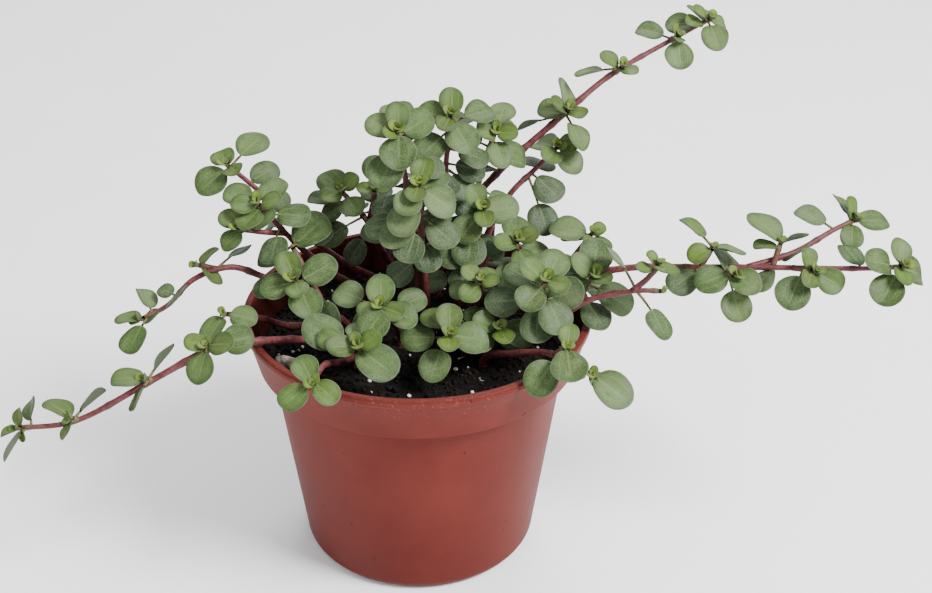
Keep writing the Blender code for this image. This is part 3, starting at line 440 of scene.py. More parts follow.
class Finish:
    """A material on one principled shader, with its colour as it is built up."""

    def __init__(self, name, specular):
        self.material = bpy.data.materials.new(name)
        self.material.use_nodes = True
        self.tree = self.material.node_tree
        self.shader = self.tree.nodes["Principled BSDF"]
        self.shader.inputs["Specular IOR Level"].default_value = specular
        self.color = None

    def node(self, kind, settings, inputs, output=0):
        """Any node: its settings first, then its sockets, and one of its outputs."""
        node = self.tree.nodes.new(kind)
        for name, value in settings.items():
            if name == "stops":
                self.set_stops(node.color_ramp, value)
            else:
                setattr(node, name, value)
        for socket, value in inputs.items():
            if isinstance(value, Value):
                self.tree.links.new(value.socket, node.inputs[socket])
            else:
                node.inputs[socket].default_value = value
        return Value(self, node.outputs[output])

    @staticmethod
    def set_stops(ramp, stops):
        while len(ramp.elements) < len(stops):
            ramp.elements.new(1)
        for element, (place, color) in zip(ramp.elements, stops):
            element.position = place
            element.color = (*color, 1)

    def place(self):
        return self.node("ShaderNodeTexCoord", {}, {}, "Object")

    def attribute(self, name):
        return self.node("ShaderNodeAttribute", {"attribute_name": name}, {}, "Fac")

    def noise(self, scale, detail, roughness):
        inputs = {"Vector": self.place(), "Scale": scale, "Detail": detail, "Roughness": roughness}
        return self.node("ShaderNodeTexNoise", {}, inputs, "Fac")

    def mix(self, share, first, second):
        """From one colour to another."""
        start = first if isinstance(first, Value) else (*first, 1)
        inputs = {0: share, 6: start, 7: (*second, 1)}
        return self.node("ShaderNodeMix", {"data_type": "RGBA"}, inputs, 2)

    def tint(self, share, color):
        """Lay a share of another colour over the one so far."""
        self.color = self.mix(share, self.color, color)

    def cover(self, roughness, height, depth, strength):
        """Lead the colour, roughness and a relief of that depth to the shader."""
        relief = {"Height": height, "Distance": depth, "Strength": strength}
        values = {"Base Color": self.color, "Roughness": roughness,
                  "Normal": self.node("ShaderNodeBump", {}, relief)}
        for socket, value in values.items():
            self.tree.links.new(value.socket, self.shader.inputs[socket])
        return self.material


def pot_finish():
    """Dull terracotta plastic: mottled, dusty near the rim, with painted shade on the inner wall above the
    soil and towards the bottom.
    """
    finish = Finish("terracotta plastic", 0.07)
    place = finish.place()
    across = finish.node("ShaderNodeVectorMath", {"operation": "MULTIPLY"}, {0: place, 1: (1, 1, 0)})
    radius = finish.node("ShaderNodeVectorMath", {"operation": "LENGTH"}, {0: across}, "Value")
    height = finish.node("ShaderNodeSeparateXYZ", {}, {0: place}, "Z")
    mottle = finish.noise(55, 4, 0.6)
    grain = finish.noise(900, 3, 0.65)
    finish.color = finish.mix(mottle.fade(0.3, 0.72), (0.114, 0.018, 0.0135), (0.14, 0.026, 0.0195))
    stain = finish.noise(24, 3, 0.55).fade(0.56, 0.8)
    finish.tint(stain * 0.25, (0.082, 0.0135, 0.0105))
    # Painted shade: the body darker towards the bottom.
    finish.tint(height.fade(0, 45 * MM, 0.4, 0), (0.06, 0.006, 0.004))
    dirt = finish.noise(330, 2, 0.5).fade(0.73, 0.77)
    finish.tint(dirt * 0.7, (0.02, 0.008, 0.006))
    specks = finish.noise(1500, 4, 0.7) * height.fade(46 * MM, POT_HEIGHT, 0.8, 1.06)
    dust = specks.fade(0.6, 0.7)
    finish.tint(dust * 0.5, (0.26, 0.13, 0.1))
    # Painted shade on the inner wall, between the soil and the lip.
    wall_line = radius - height * BAND_SLOPE
    painted_inner_shade = wall_line.fade(WALL_LINE - WALL, WALL_LINE - 0.5 * WALL, 1, 0)
    painted_inner_shade = painted_inner_shade * height.fade(SOIL_TOP - 3 * MM, SOIL_TOP - 2 * MM)
    painted_inner_shade = painted_inner_shade * height.fade(POT_HEIGHT - LIP_HEIGHT, POT_HEIGHT, 1, 0)
    lip = height.fade(POT_HEIGHT - 0.9 * MM, POT_HEIGHT - 0.2 * MM)
    finish.tint(lip * 0.45, (0.05, 0.009, 0.007))
    finish.tint(painted_inner_shade * 0.85, (0.022, 0.006, 0.005))
    rough = mottle.fade(0.2, 0.8, 0.4, 0.55) + dust * 0.2
    relief = grain * 0.6 + mottle * 0.3
    return finish.cover(rough, relief, 0.12 * MM, 0.35)


def soil_finish():
    """Wet black peat with brown fibres."""
    finish = Finish("potting soil", 0.15)
    lumps = finish.noise(420, 5, 0.7)
    fibre = finish.noise(1500, 3, 0.6)
    finish.color = finish.mix(lumps.fade(0.35, 0.75), (0.0015, 0.0012, 0.001), (0.009, 0.0066, 0.0048))
    finish.tint(fibre.fade(0.62, 0.78) * 0.5, (0.05, 0.034, 0.022))
    rough = lumps.fade(0.3, 0.8, 0.98, 0.75)
    height = lumps + fibre * 0.35
    return finish.cover(rough, height, 0.5 * MM, 0.9)


def crumb_finish():
    """Dark crumbs of peat, some browner than others."""
    finish = Finish("peat crumb", 0.15)
    tone = finish.attribute("tone")
    finish.color = finish.mix(tone, (0.0012, 0.001, 0.0009), (0.014, 0.0095, 0.0065))
    grain = finish.noise(1800, 3, 0.6)
    rough = grain.fade(0.3, 0.7, 0.95, 0.8)
    return finish.cover(rough, grain, 0.15 * MM, 0.8)


def grit_finish():
    """White grit, dusted with soil."""
    finish = Finish("white grit", 0.3)
    tone = finish.attribute("tone")
    spots = finish.noise(1400, 4, 0.7)
    finish.color = finish.mix(tone, (0.42, 0.38, 0.33), (0.74, 0.71, 0.66))
    finish.tint(spots.fade(0.5, 0.7) * 0.6, (0.1, 0.07, 0.05))
    rough = spots.fade(0.3, 0.8, 0.85, 0.95)
    return finish.cover(rough, spots, 0.25 * MM, 0.9)


def chip_finish():
    """Pale brown bark and grit, streaked and stained with soil."""
    finish = Finish("pale grit and bark", 0.3)
    spots = finish.noise(700, 5, 0.7)
    streak = finish.noise(240, 3, 0.5)
    finish.color = finish.mix(streak.fade(0.35, 0.65), (0.22, 0.17, 0.13), (0.46, 0.41, 0.35))
    finish.tint(spots.fade(0.52, 0.68) * 0.8, (0.06, 0.042, 0.03))
    rough = spots.fade(0.3, 0.8, 0.8, 0.95)
    return finish.cover(rough, spots, 0.4 * MM, 0.9)


def stem_finish():
    """Dusty red skin, pale green in the young tips and petioles, dark at the nodes."""
    finish = Finish("red stem", 0.3)
    green = finish.attribute("green")
    node = finish.attribute("node")
    streak = finish.noise(1100, 3, 0.6)
    finish.color = finish.mix(streak.fade(0.3, 0.7), (0.066, 0.0105, 0.0115), (0.135, 0.036, 0.036))
    finish.tint(green, (0.115, 0.13, 0.04))
    finish.tint(node * 0.5, (0.035, 0.01, 0.009))
    rough = streak.fade(0.2, 0.8, 0.45, 0.62)
    return finish.cover(rough, streak, 0.08 * MM, 0.5)


def leaf_finish():
    """Grey-green blades with a silvery stipple: lime when young, blue-grey and darker when old, partly as
    painted shade; darker towards the edge, partly as painted shade between leaves.
    """
    finish = Finish("grey green leaf", 0.2)
    under, age, tone, along, across = map(finish.attribute, BLADE_LAYERS)
    out = along * along + across * across
    arch = across * across - 0.25 * (1 - along * along)
    midrib = (across * across).fade(0, 0.008, 1, 0)
    side_veins = (arch * arch).fade(0, 0.0016, 0.6, 0)
    vein = (midrib + side_veins) * along.fade(-0.1, 0.9, 1, 0)
    speck = finish.noise(3300, 3, 0.65)
    cloud = finish.noise(420, 3, 0.6)
    # Lime when young, blue-grey when old; the dark old end is partly the leaf's own colour and partly
    # painted shade for the deep, low leaves.
    finish.color = finish.node("ShaderNodeValToRGB", {"stops": (
        (0.0, (0.19, 0.26, 0.035)),
        (0.18, (0.09, 0.152, 0.014)),
        (0.38, (0.052, 0.099, 0.014)),
        (0.6, (0.055, 0.097, 0.026)),
        (0.85, (0.036, 0.061, 0.025)),
        (1.0, (0.02, 0.036, 0.02)),
    )}, {0: age + (tone - 0.5) * 0.3})
    finish.tint(tone.fade(0.6, 0) * 0.6, (0.018, 0.033, 0.013))
    finish.tint(tone.fade(0.55, 1) * 0.45, (0.115, 0.165, 0.06))
    # Darker green towards the edge: partly the leaf's own colour, partly painted shade between overlapping
    # leaves.
    finish.tint(out.fade(0.25, 1) * 0.62, (0.014, 0.034, 0.007))
    finish.tint(cloud.fade(0.48, 0.72) * 0.45, (0.1, 0.145, 0.05))
    finish.tint(cloud.fade(0.48, 0.26) * 0.45, (0.014, 0.033, 0.007))
    middle = out.fade(0.2, 1, 1, 0.45) * age.fade(0.12, 0.5)
    silver = speck.fade(0.42, 0.64) * middle
    finish.tint(silver * 0.36, (0.16, 0.205, 0.11))
    finish.tint(vein * 0.44, (0.13, 0.18, 0.065))
    finish.tint(out.fade(0.92, 0.97) * 0.3, (0.13, 0.15, 0.08))
    finish.tint(under * 0.75, (0.07, 0.082, 0.06))
    rough = cloud.fade(0.3, 0.7, 0.45, 0.6) + under * 0.1
    relief = speck * 0.5 + cloud * 0.6 - vein * 0.8
    return finish.cover(rough, relief, 0.12 * MM, 0.55)


def floor_finish():
    """A plain pale surface."""
    finish = Finish("pale floor", 0.3)
    grain = finish.noise(30, 3, 0.5)
    finish.color = finish.mix(grain, (0.92, 0.92, 0.915), (0.95, 0.95, 0.945))
    rough = grain.fade(0.3, 0.7, 0.8, 0.9)
    return finish.cover(rough, grain, 0.1 * MM, 0.2)


def mesh_of(name, bm):
    """The mesh of a bmesh, which is freed."""
    mesh = bpy.data.meshes.new(name)
    bm.to_mesh(mesh)
    bm.free()
    return mesh


def add_object(name, data):
    """Data as an object in the scene."""
    thing = bpy.data.objects.new(name, data)
    bpy.context.scene.collection.objects.link(thing)
    return thing


def add_piece(name, bm, finish, slot, *nodes):
    """Close off a bmesh as a piece of the object."""
    piece = add_object(name, mesh_of(name, bm))
    piece.data.materials.append(finish)
    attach(piece, "root")
    if nodes:
        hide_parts(*nodes)
    piece.data.shade_smooth()
    return piece


def spun(profile, steps):
    """Turn an outline of (radius, height) points round the pot's axis."""
    bm = bmesh.new()
    verts = [bm.verts.new((radius, 0, height)) for radius, height in profile]
    edges = [bm.edges.new(pair) for pair in zip(verts, verts[1:])]
    bmesh.ops.spin(bm, geom=verts + edges, cent=(0, 0, 0), axis=UP, angle=math.tau,
                   steps=steps, use_merge=True)
    bmesh.ops.remove_doubles(bm, verts=bm.verts, dist=1e-6)
    bmesh.ops.recalc_face_normals(bm, faces=bm.faces)
    return bm


def arc(center, radius, start, end, steps):
    """Points on an arc, angles in degrees from the outward direction."""
    for step in range(steps + 1):
        angle = math.radians(start + (end - start) * step / steps)
        yield (center[0] + radius * math.cos(angle), center[1] + radius * math.sin(angle))


def add_rod(bm, sides, radius, length, matrix):
    """A closed round rod."""
    bmesh.ops.create_cone(bm, cap_ends=True, segments=sides, radius1=radius, radius2=radius,
                          depth=length, matrix=matrix)


def make_pot(finish):
    """The pot's thin shell, all its corners rounded, with its drain holes."""
    band_foot = POT_HEIGHT - BAND_HEIGHT
    ledge = band_foot + WALL
    lip_foot = POT_HEIGHT - LIP_HEIGHT
    lip_inside = RIM_RADIUS - LIP_OUT - WALL
    foot = BASE_RADIUS - FOOT_ROUND
    profile = [(0, 0)]
    profile += arc((foot, FOOT_ROUND), FOOT_ROUND, -90, -6, 9)
    profile += arc((BODY_TOP_RADIUS + SOFT, band_foot - SOFT), SOFT, 180, 90, 4)
    profile += arc((BAND_FOOT_RADIUS - SOFT, band_foot + SOFT), SOFT, -90, 0, 4)
    profile += [(RIM_RADIUS - LIP_OUT - BAND_IN, lip_foot - BAND_DOWN)]
    profile += arc((RIM_RADIUS - LIP_ROUND, lip_foot + LIP_ROUND), LIP_ROUND, -70, 0, 5)
    profile += arc((RIM_RADIUS - LIP_ROUND, POT_HEIGHT - LIP_ROUND), LIP_ROUND, 0, 90, 6)
    profile += arc((lip_inside + SOFT, POT_HEIGHT - SOFT), SOFT, 90, 180, 4)
    profile += arc((BAND_FOOT_RADIUS - WALL - SOFT, ledge + SOFT), SOFT, 0, -90, 4)
    profile += [(BODY_TOP_RADIUS - WALL, ledge)]
    profile += arc((foot, FOOT_ROUND), FOOT_ROUND - WALL, 0, -90, 5)
    profile += [(0, WALL)]
    pot = add_piece("nursery_pot", spun(profile, POT_TURN_STEPS), finish, "pot", "pot")
    cut_drains(pot)
    pot.data.set_sharp_from_angle(angle=SHARP_CORNER)


def cut_drains(pot):
    """Round holes through the pot's base."""
    bm = bmesh.new()
    for index in range(DRAIN_HOLES):
        angle = math.tau * (index + 0.5) / DRAIN_HOLES
        place = Vector((math.cos(angle), math.sin(angle), 0)) * DRAIN_CIRCLE
        add_rod(bm, DRAIN_SIDES, DRAIN_RADIUS, 4 * WALL, Matrix.Translation(place))
    drains = add_object("drains", mesh_of("drains", bm))
    boolean = pot.modifiers.new("drains", "BOOLEAN")
    boolean.operation = "DIFFERENCE"
    boolean.object = drains
    depsgraph = bpy.context.evaluated_depsgraph_get()
    holed = bpy.data.meshes.new_from_object(pot.evaluated_get(depsgraph))
    pot.modifiers.clear()
    pot.data = holed
    bpy.data.objects.remove(drains)


def lump_height(x, y):
    """Height of the uneven soil at a place, with its fine crumb."""
    spot = Vector((x, y, 0)) / SOIL_LUMP_SPAN
    coarse = SOIL_LUMP * noise.noise(spot)
    fine = sum(height * noise.noise(spot * fineness) for height, fineness in SOIL_CRUMB)
    return SOIL_TOP + coarse + fine


def make_soil(finish):
    """The plug of soil, its top uneven and crumbly."""
    inside = BASE_RADIUS - WALL - CLEARANCE
    ledge = POT_HEIGHT - BAND_HEIGHT + WALL + CLEARANCE
    edge = BAND_FOOT_RADIUS - WALL - CLEARANCE
    floor = WALL + CLEARANCE
    profile = [
        (0, floor),
        (inside - FOOT_ROUND, floor),
        (inside, floor + FOOT_ROUND),
        (BODY_TOP_RADIUS - WALL - CLEARANCE, ledge),
        (edge, ledge),
    ]
    rings = round(edge / SOIL_RING_STEP)
    profile += [(edge * (1 - ring / rings), SOIL_TOP) for ring in range(rings + 1)]
    bm = spun(profile, SOIL_TURN_STEPS)
    for vert in bm.verts:
        if vert.co.z > ledge + CLEARANCE:
            vert.co.z = lump_height(vert.co.x, vert.co.y)
    add_piece("soil_plug", bm, finish, "soil", "soil")


def strew(name, strewn, finish):
    """Small rough lumps all over the soil."""
    dice = random.Random(strewn.seed)
    noise.seed_set(strewn.seed)
    reach = BAND_FOOT_RADIUS - WALL - 2 * CLEARANCE
    bm = bmesh.new()
    layer = bm.verts.layers.float.new("tone")
    for _ in range(strewn.count):
        angle = dice.uniform(0, math.tau)
        out = reach * math.sqrt(dice.random())
        x, y = out * math.cos(angle), out * math.sin(angle)
        half = dice.uniform(strewn.small, strewn.large)
        tone = dice.random()
        squash = Vector((dice.uniform(*LUMP_SQUASH), dice.uniform(*LUMP_SQUASH), strewn.height))
        place = Matrix.Translation((x, y, lump_height(x, y) + half * LUMP_STAND))
        turn = Matrix.Rotation(dice.uniform(0, math.tau), 4, Vector((dice.random(), dice.random(), 1)))
        shape = place @ turn @ Matrix.Diagonal((*squash * half, 1))
        verts = bmesh.ops.create_icosphere(bm, subdivisions=1, radius=1, matrix=shape)["verts"]
        for vert in verts:
            vert.co += noise.noise_vector(vert.co / MM * LUMP_FINENESS) * half * LUMP_UNEVEN
            vert[layer] = tone
    add_piece(name, bm, finish, "soil")


def make_chip(finish):
    """The pale lump: uneven, pitted and flat where it lies on the soil."""
    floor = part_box("soil_chip")[0].z
    bm = bmesh.new()
    bmesh.ops.create_icosphere(bm, subdivisions=4, radius=1)
    for vert in bm.verts:
        way = vert.co.copy()
        vert.co *= 1 + CHIP_UNEVEN * noise.noise(way * CHIP_LUMPS)
        vert.co *= 1 - sum(depth * abs(noise.noise(way * fineness)) for depth, fineness in CHIP_PITS)
        vert.co = Vector(c * h for c, h in zip(vert.co, CHIP_HALF))
    place = Matrix.Translation(CHIP_PLACE) @ Matrix.Rotation(CHIP_TURN, 4, "Z")
    bmesh.ops.transform(bm, matrix=place, verts=bm.verts)
    for vert in bm.verts:
        vert.co.z = max(vert.co.z, floor)
    add_piece("chip_of_bark", bm, finish, "soil_chip", "soil_chip")


class Route:
    """A smooth curve through a spray's points, measured from its tip."""

    def __init__(self, spray, parent=None):
        points = [Vector(p) * MM for p in spray.points[1:]]
        first = spray.points[0]
        if parent is None:
            x, y = first[0] * MM, first[1] * MM
            points = [Vector((x, y, SOIL_TOP - ROOT_DEPTH)), Vector((x, y, SOIL_TOP + STEM_FOOT))] + points
        else:
            points = [parent.nearest(Vector(first) * MM)] + points
        self.rooted = parent is None
        self.samples = self.smooth(points)
        self.lengths = [0]
        for a, b in zip(self.samples, self.samples[1:]):
            self.lengths.append(self.lengths[-1] + (b - a).length)
        self.length = self.lengths[-1]

    @staticmethod
    def smooth(points, steps=12):
        """A Catmull-Rom curve through the points."""
        ends = [points[0] * 2 - points[1]] + points + [points[-1] * 2 - points[-2]]
        samples = [points[0]]
        for a, b, c, d in zip(ends, ends[1:], ends[2:], ends[3:]):
            for step in range(1, steps + 1):
                t = step / steps
                samples.append(0.5 * (2 * b + (c - a) * t + (2 * a - 5 * b + 4 * c - d) * t ** 2
                                      + (3 * b - a - 3 * c + d) * t ** 3))
        return samples

    def at(self, from_tip):
        """Place and direction at a distance from the tip."""
        target = min(max(self.length - from_tip, 0), self.length)
        index = 1
        while index < len(self.lengths) - 1 and self.lengths[index] < target:
            index += 1
        a, b = self.samples[index - 1], self.samples[index]
        span = self.lengths[index] - self.lengths[index - 1]
        share = (target - self.lengths[index - 1]) / span
        return a.lerp(b, share), (b - a).normalized()

    def nearest(self, point):
        """The place on the route that is closest to a point."""
        return min(self.samples, key=lambda sample: (sample - point).length)

    def radius(self, from_tip):
        """Half thickness of the solid's tube at a distance from the tip."""
        thick = STEM_RADIUS if self.rooted else TWIG_RADIUS
        share = min(1, from_tip / self.length)
        return SQUARE_SPREAD * (TIP_RADIUS + (thick - TIP_RADIUS) * share)

    def stops(self):
        """Distances from the tip, root first, at which the tube has a ring."""
        foot = ROOT_DEPTH + STEM_FOOT if self.rooted else 0
        free = self.length - foot
        count = max(2, round(free / STEM_STEP))
        stops = [free * (1 - step / count) for step in range(count + 1)]
        return [self.length] + stops if self.rooted else stops


class Leaf:
    """Where one leaf sits: its foot, direction, upper side, size and petiole."""

    def __init__(self, foot, direction, upper, blade, petiole, bend):
        self.foot = foot
        self.direction = direction
        self.upper = (upper - direction * upper.dot(direction)).normalized()
        self.side = self.direction.cross(self.upper)
        self.blade = blade
        self.petiole = petiole
        self.bend = bend

    def point(self, along, across, lift=0):
        """A place on the arched blade, along its midrib and across it."""
        total = self.petiole + self.blade
        curl = self.bend / total
        angle = curl * along
        forward = math.sin(angle) / curl
        down = (1 - math.cos(angle)) / curl
        normal = self.upper * math.cos(angle) + self.direction * math.sin(angle)
        return (self.foot + self.direction * forward - self.upper * down
                + self.side * across + normal * lift)

    def stations(self):
        """Places along the blade with its half width there, foot first."""
        outline = next(angles for least, angles in OUTLINES if self.blade > least * MM)
        rows = [(0, PETIOLE_HALF_WIDTH)]
        if self.petiole > LONG_PETIOLE:
            rows.append((self.petiole, PETIOLE_HALF_WIDTH))
        for degrees in outline:
            angle = math.radians(degrees)
            along = self.petiole + self.blade * ((1 - math.cos(angle)) / 2) ** FULL_ALONG
            rows.append((along, self.blade * BLADE_WIDTH / 2 * math.sin(angle) ** FULL_ACROSS))
        return rows

    def solid(self, grow, skip=0):
        """The leaf as a closed bmesh, thicker and wider by grow, without its first rows."""
        bm = bmesh.new()
        rows = self.stations()[skip:]
        lift = BLADE_THICKNESS / 2 + grow
        before = None
        faces = []
        for along, half in rows:
            pair = [bm.verts.new(self.point(along, (half + grow) * s, lift)) for s in (-1, 1)]
            if before:
                faces.append(bm.faces.new((before[0], before[1], pair[1], pair[0])))
            before = pair
        tip = bm.verts.new(self.point(self.petiole + self.blade + grow, 0, lift))
        faces.append(bm.faces.new((before[0], before[1], tip)))
        sheet = bmesh.ops.extrude_face_region(bm, geom=faces)["geom"]
        under = [item for item in sheet if isinstance(item, bmesh.types.BMVert)]
        for vert in under:
            vert.co -= self.sheet_normal(vert.co) * 2 * lift
        bmesh.ops.recalc_face_normals(bm, faces=bm.faces)
        return bm

    def sheet_normal(self, place):
        """Upper direction of the arched blade at a place on it."""
        total = self.petiole + self.blade
        forward = (place - self.foot).dot(self.direction)
        angle = self.bend * min(1, max(0, forward / total))
        return self.upper * math.cos(angle) + self.direction * math.sin(angle)


def outside_pot(bm):
    """Whether a blade is clear of the pot's wall and of the soil."""
    for face in bm.faces:
        for place in [face.calc_center_median()] + [v.co for v in face.verts]:
            out = place.xy.length
            if place.z < SOIL_TOP + SOIL_ROOM and out < RIM_RADIUS:
                return False
            if place.z < POT_HEIGHT + MM and WALL_INSIDE < out < RIM_RADIUS + RIM_ROOM:
                return False
    return True


def leaning(axis, turn, lean):
    """A direction that leans from an axis, at a turn that is 0 to the right and 90 to the back."""
    reference = Vector((1, -0.5 * axis.x ** 2, -0.3 * axis.x ** 2))
    right = (reference - axis * reference.dot(axis)).normalized()
    back = axis.cross(right)
    turn, lean = math.radians(turn), math.radians(lean)
    across = right * math.cos(turn) + back * math.sin(turn)
    return axis * math.cos(lean) + across * math.sin(lean)


class Garden:
    """All that has been placed so far, for keeping leaves clear of each other."""

    def __init__(self):
        self.guards = []

    def add(self, name, bm, center, reach):
        """Keep the room that a bmesh takes up."""
        self.guards.append((name, BVHTree.FromBMesh(bm), center, reach))

    def blocked(self, name, bm, center, reach, own):
        """Whether a bmesh crosses what is kept under this name, or else under any other."""
        tree = BVHTree.FromBMesh(bm)
        for other, other_tree, other_center, other_reach in self.guards:
            near = (center - other_center).length < reach + other_reach
            if near and (other == name) == own and tree.overlap(other_tree):
                return True
        return False

    def takes(self, name, leaf):
        """Keep a leaf if it is clear of the pot, the soil and the other plants' leaves."""
        center = leaf.point(leaf.petiole + leaf.blade / 2, 0)
        reach = leaf.petiole + leaf.blade * 0.75
        guard = leaf.solid(LEAF_GUARD)
        outer = leaf.solid(0, skip=1)
        blade = name + " blade"
        clear = (outside_pot(guard)
                 and not self.blocked(name, guard, center, reach, own=False)
                 and not self.blocked(blade, outer, center, reach, own=True))
        if clear:
            self.add(name, guard, center, reach)
            self.add(blade, outer, center, reach)
        guard.free()
        outer.free()
        return clear


def paired_leaves(spray, route, dice):
    """The rule's leaves: for each, a function from a bend to the leaf."""
    for index in range(spray.pairs):
        growth = GROWTH[index]
        if growth.place * MM > route.length - MM:
            return
        for side in (0, 180)[:2 if index else 1]:
            smaller = side == (180 if index % 2 else 0)
            turn = spray.turn + 90 * index + side + dice.uniform(-TURN_SPREAD, TURN_SPREAD)
            lean = growth.lean + dice.uniform(-LEAN_SPREAD, LEAN_SPREAD)
            blade = spray.leaf * growth.size * dice.uniform(1 - SIZE_SPREAD, 1 + SIZE_SPREAD)
            blade *= SMALLER if smaller else 1
            yield pair_leaf(spray, route, growth, turn, lean, blade * MM)


def pair_leaf(spray, route, growth, turn, lean, blade):
    """One leaf of a crossed pair, as a function of how it is bent clear."""
    foot, along = route.at(growth.place * MM)
    outward = Vector((foot.x, foot.y, 0)) * OUTWARD_LEAN
    face = (FACES[spray.face] + outward).normalized()
    axis = face.lerp(along, min(1, growth.place / ROSETTE_REACH)).normalized()

    def make(extra_turn, extra_lean, shrink):
        direction = leaning(axis, turn + extra_turn, lean + extra_lean)
        upper = axis + face * (LIGHT_PULL + LIGHT_PULL_GROWTH * growth.place)
        size = blade * shrink
        arch = BLADE_ARCH + BLADE_ARCH_FOR_PETIOLE * growth.petiole
        return Leaf(foot, direction, upper, size, size * growth.petiole, math.radians(arch))
    return make


def lone_leaf(route, lone):
    """A listed leaf, as a function of how it is bent clear."""
    foot = route.at(lone.place * MM)[0]
    face = FACES["light"]

    def make(extra_turn, extra_lean, shrink):
        direction = leaning(face, lone.turn + extra_turn, lone.lean + extra_lean)
        upper = Matrix.Rotation(math.radians(lone.roll), 3, direction) @ face
        return Leaf(foot, direction, upper, lone.blade * MM * shrink, lone.petiole * MM,
                    math.radians(LONE_BLADE_ARCH))
    return make


def grow_leaves(name, spray, route, garden, dice):
    """Place a spray's leaves one by one, each bent clear of what is there."""
    makers = [lone_leaf(route, Lone(*row)) for row in spray.lone]
    makers += paired_leaves(spray, route, dice)
    leaves = []
    for make in makers:
        for bend in BENDS:
            leaf = make(*bend)
            if garden.takes(name, leaf):
                leaves.append(leaf)
                break
    return leaves


def heart_leaves(spray, route):
    """The folded youngest leaves in the heart of a rosette, finer than the solids hold."""
    if not spray.pairs:
        return []
    leaves = []
    for turn, lean, share in HEART:
        growth = Growth(HEART_PLACE, share, lean, HEART_PETIOLE)
        make = pair_leaf(spray, route, growth, spray.turn + turn, lean, spray.leaf * share * MM)
        leaves.append(make(0, 0, 1))
    return leaves


def leaf_blank():
    """A flat round blade from -1 to 1, with an upper and a lower skin."""
    bm = bmesh.new()
    for name in BLADE_LAYERS:
        bm.verts.layers.float.new(name)
    bmesh.ops.create_grid(bm, x_segments=BLADE_CELLS, y_segments=BLADE_CELLS, size=1)
    for vert in bm.verts:
        x, y = vert.co.x, vert.co.y
        vert.co.x = x * math.sqrt(1 - y * y / 2)
        vert.co.y = y * math.sqrt(1 - x * x / 2)
        vert.co.z = 1
    sheet = bmesh.ops.extrude_face_region(bm, geom=bm.faces[:])["geom"]
    for item in sheet:
        if isinstance(item, bmesh.types.BMVert):
            item.co.z = -1
            item[bm.verts.layers.float["under"]] = 1
    bmesh.ops.recalc_face_normals(bm, faces=bm.faces)
    return mesh_of("leaf blank", bm)


def add_blade(bm, blank, leaf, age, dice):
    """Lay a copy of the blank along a leaf: creased at its midrib, cupped and a little waved."""
    layers = bm.verts.layers.float
    start = len(bm.verts)
    bm.from_mesh(blank)
    bm.verts.ensure_lookup_table()
    tone = dice.random()
    wave = dice.uniform(0, math.tau)
    cup = CUP - CUP_LOST_WITH_AGE * age + dice.uniform(-CUP_SPREAD, CUP_SPREAD)
    wider = dice.uniform(*WIDER_TO_TIP)
    point = dice.uniform(*POINTED)
    broad, narrow = OUTLINE_SWELL
    for vert in bm.verts[start:]:
        x, y, side = vert.co
        out = math.hypot(x, y)
        turn = math.atan2(y, x)
        swell = 1 + out * (broad * math.sin(2 * turn + wave) + narrow * math.sin(3 * turn + 2 * wave))
        half = leaf.blade * BLADE_WIDTH / 2 * (1 + wider * x)
        rise = cup * y * y - CREASE_DEPTH * math.exp(-(y / CREASE_WIDTH) ** 2) * (1 - out ** 4)
        rise += EDGE_WAVE * out ** 4 * math.sin(3 * turn + wave)
        reach = x * swell + point * max(0, x) ** 6
        along = leaf.petiole + leaf.blade * (1 + reach) / 2
        thick = LEAF_HALF_THICKNESS * (1 - EDGE_THINNER * out ** 6)
        vert.co = leaf.point(along, y * half * swell, rise * leaf.blade / 2 + side * thick)
        vert[layers["age"]] = age
        vert[layers["tone"]] = tone
        vert[layers["along"]] = x
        vert[layers["across"]] = y


def add_ring(bm, before, place, way, radius, green, node, closed):
    """One more ring of a stem, joined to the ring before it."""
    matrix = Matrix.Translation(place) @ way.to_track_quat("Z", "Y").to_matrix().to_4x4()
    verts = bmesh.ops.create_circle(bm, segments=STEM_SIDES, radius=radius, cap_ends=closed,
                                    matrix=matrix)["verts"]
    for vert in verts:
        vert[bm.verts.layers.float["green"]] = green
        vert[bm.verts.layers.float["node"]] = node
    edges = list(dict.fromkeys(edge for vert in verts for edge in vert.link_edges))
    if before:
        bmesh.ops.bridge_loops(bm, edges=before + edges)
    return edges


def add_stem(bm, route, nodes):
    """A run of stem, swollen and dark at its nodes, green towards its tip."""
    count = max(4, round(route.length / STEM_RING_STEP))
    ring = None
    for step in range(count + 1):
        from_tip = route.length * (1 - step / count)
        place, way = route.at(from_tip)
        near = max(math.exp(-((from_tip - node) / NODE_REACH) ** 2) for node in nodes)
        radius = route.radius(from_tip) / SQUARE_SPREAD * (STEM_SHARE + NODE_SWELL * near)
        green = max(0, 1 - from_tip / GREEN_REACH) * GREEN_SHARE
        ring = add_ring(bm, ring, place, way, radius, green, near, step in (0, count))


def add_petiole(bm, leaf):
    """The leaf's stalk, from inside the stem to just under the blade's foot."""
    ring = None
    reach = leaf.petiole + PETIOLE_UNDER * leaf.blade
    last = len(PETIOLE_RINGS) - 1
    for step, (radius, green) in enumerate(PETIOLE_RINGS):
        along = reach * step / last
        place = leaf.point(along, 0, -PETIOLE_DROP)
        way = (leaf.point(along + 0.1 * MM, 0) - leaf.point(along, 0)).normalized()
        ring = add_ring(bm, ring, place, way, radius * MM, green, 0, step in (0, last))


def stem_nodes(spray, route):
    """Distances from the tip at which the stem has its nodes."""
    nodes = [growth.place * MM for growth in GROWTH[2:max(spray.pairs, 3)]]
    last = nodes[-1]
    while last + NODE_SPACE < route.length - LAST_NODE:
        last += NODE_SPACE
        nodes.append(last)
    return nodes


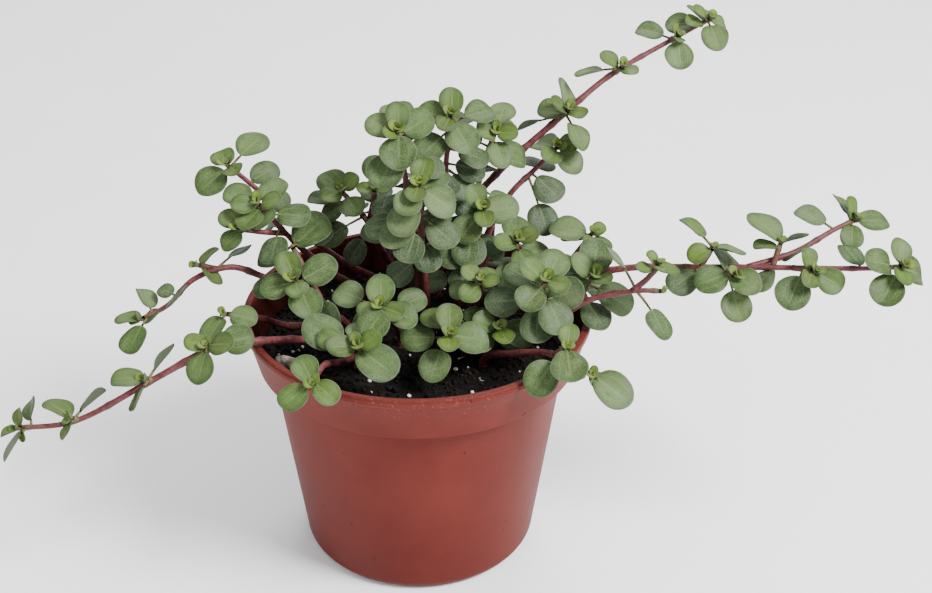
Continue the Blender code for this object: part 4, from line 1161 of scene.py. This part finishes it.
def guard_stem(name, route, garden):
    """Keep the room along a stem for it."""
    stops = route.stops()
    for stop, after in zip(stops, stops[1:]):
        center = (route.at(stop)[0] + route.at(after)[0]) / 2
        along = route.at((stop + after) / 2)[1]
        tilt = along.to_track_quat("Z", "Y").to_matrix().to_4x4()
        bm = bmesh.new()
        add_rod(bm, 6, STEM_GUARD, stop - after, Matrix.Translation(center) @ tilt)
        garden.add(name, bm, center, (stop - after) / 2 + MM)
        bm.free()


def make_leafy_stems(leaf_skin, stem_skin):
    """The finer stems and blades of every node, grown by the solids' own rule."""
    routes = {}
    for name, sprays in LEAFY_STEMS.items():
        main_route = Route(sprays[0])
        routes[name] = [main_route] + [Route(spray, main_route) for spray in sprays[1:]]
    garden = Garden()
    for name, own_routes in routes.items():
        for route in own_routes:
            guard_stem(name, route, garden)
    dice = random.Random(SEED)
    looks = random.Random(SEED + 1)
    blank = leaf_blank()
    for name, sprays in LEAFY_STEMS.items():
        blades = bmesh.new()
        stems = bmesh.new()
        stems.verts.layers.float.new("green")
        stems.verts.layers.float.new("node")
        for spray, route in zip(sprays, routes[name]):
            add_stem(stems, route, stem_nodes(spray, route))
            leaves = grow_leaves(name, spray, route, garden, dice)
            for leaf in leaves + heart_leaves(spray, route):
                from_tip = (leaf.foot - route.at(0)[0]).length / MM
                larger = max(0, leaf.blade / MM - YOUNGEST_BLADE)
                # Leaves far from the tip, deep in the plant, get the darker old colour, partly as painted
                # shade.
                age = min(1, AGE_AND_SHADE_FROM_TIP * from_tip + AGE_FROM_SIZE * larger)
                add_blade(blades, blank, leaf, age, looks)
                add_petiole(stems, leaf)
        node = "leafy_stem_" + name
        piece = add_piece("leaves_" + name, blades, leaf_skin, "leafy_stem", node)
        rounding = piece.modifiers.new("round", "SUBSURF")
        rounding.levels = rounding.render_levels = BLADE_LEVELS
        add_piece("stem_" + name, stems, stem_skin, "leafy_stem", node)


def add_aimed(name, data, place, roll=0):
    """A light or a camera that looks at the plant."""
    thing = add_object(name, data)
    thing.location = place
    way = (CAMERA_AIM - Vector(place)).to_track_quat("-Z", "Y").to_matrix()
    thing.rotation_euler = (way @ Matrix.Rotation(roll, 3, "Z")).to_euler()
    return thing


def make_studio():
    """The pale floor, the soft lights and the photograph's camera."""
    bm = bmesh.new()
    bmesh.ops.create_grid(bm, x_segments=1, y_segments=1, size=FLOOR_HALF)
    floor = add_object("floor", mesh_of("floor", bm))
    floor.data.materials.append(floor_finish())
    world = bpy.data.worlds.new("studio")
    world.use_nodes = True
    sky = world.node_tree.nodes["Background"]
    sky.inputs["Color"].default_value = (*SKY_COLOR, 1)
    sky.inputs["Strength"].default_value = SKY_STRENGTH
    bpy.context.scene.world = world
    for name, (place, size, power) in LIGHTS.items():
        data = bpy.data.lights.new(name, "AREA")
        data.shape = "DISK"
        data.size = size
        data.energy = power
        add_aimed(name, data, place)
    data = bpy.data.cameras.new("camera")
    data.lens = CAMERA_LENS
    data.clip_start = 10 * MM
    bpy.context.scene.camera = add_aimed("camera", data, CAMERA_PLACE, CAMERA_ROLL)


def main():
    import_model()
    make_studio()
    make_pot(pot_finish())
    make_soil(soil_finish())
    strew("peat_crumbs", PEAT_CRUMBS, crumb_finish())
    strew("white_grit", WHITE_GRIT, grit_finish())
    make_chip(chip_finish())
    make_leafy_stems(leaf_finish(), stem_finish())


main()
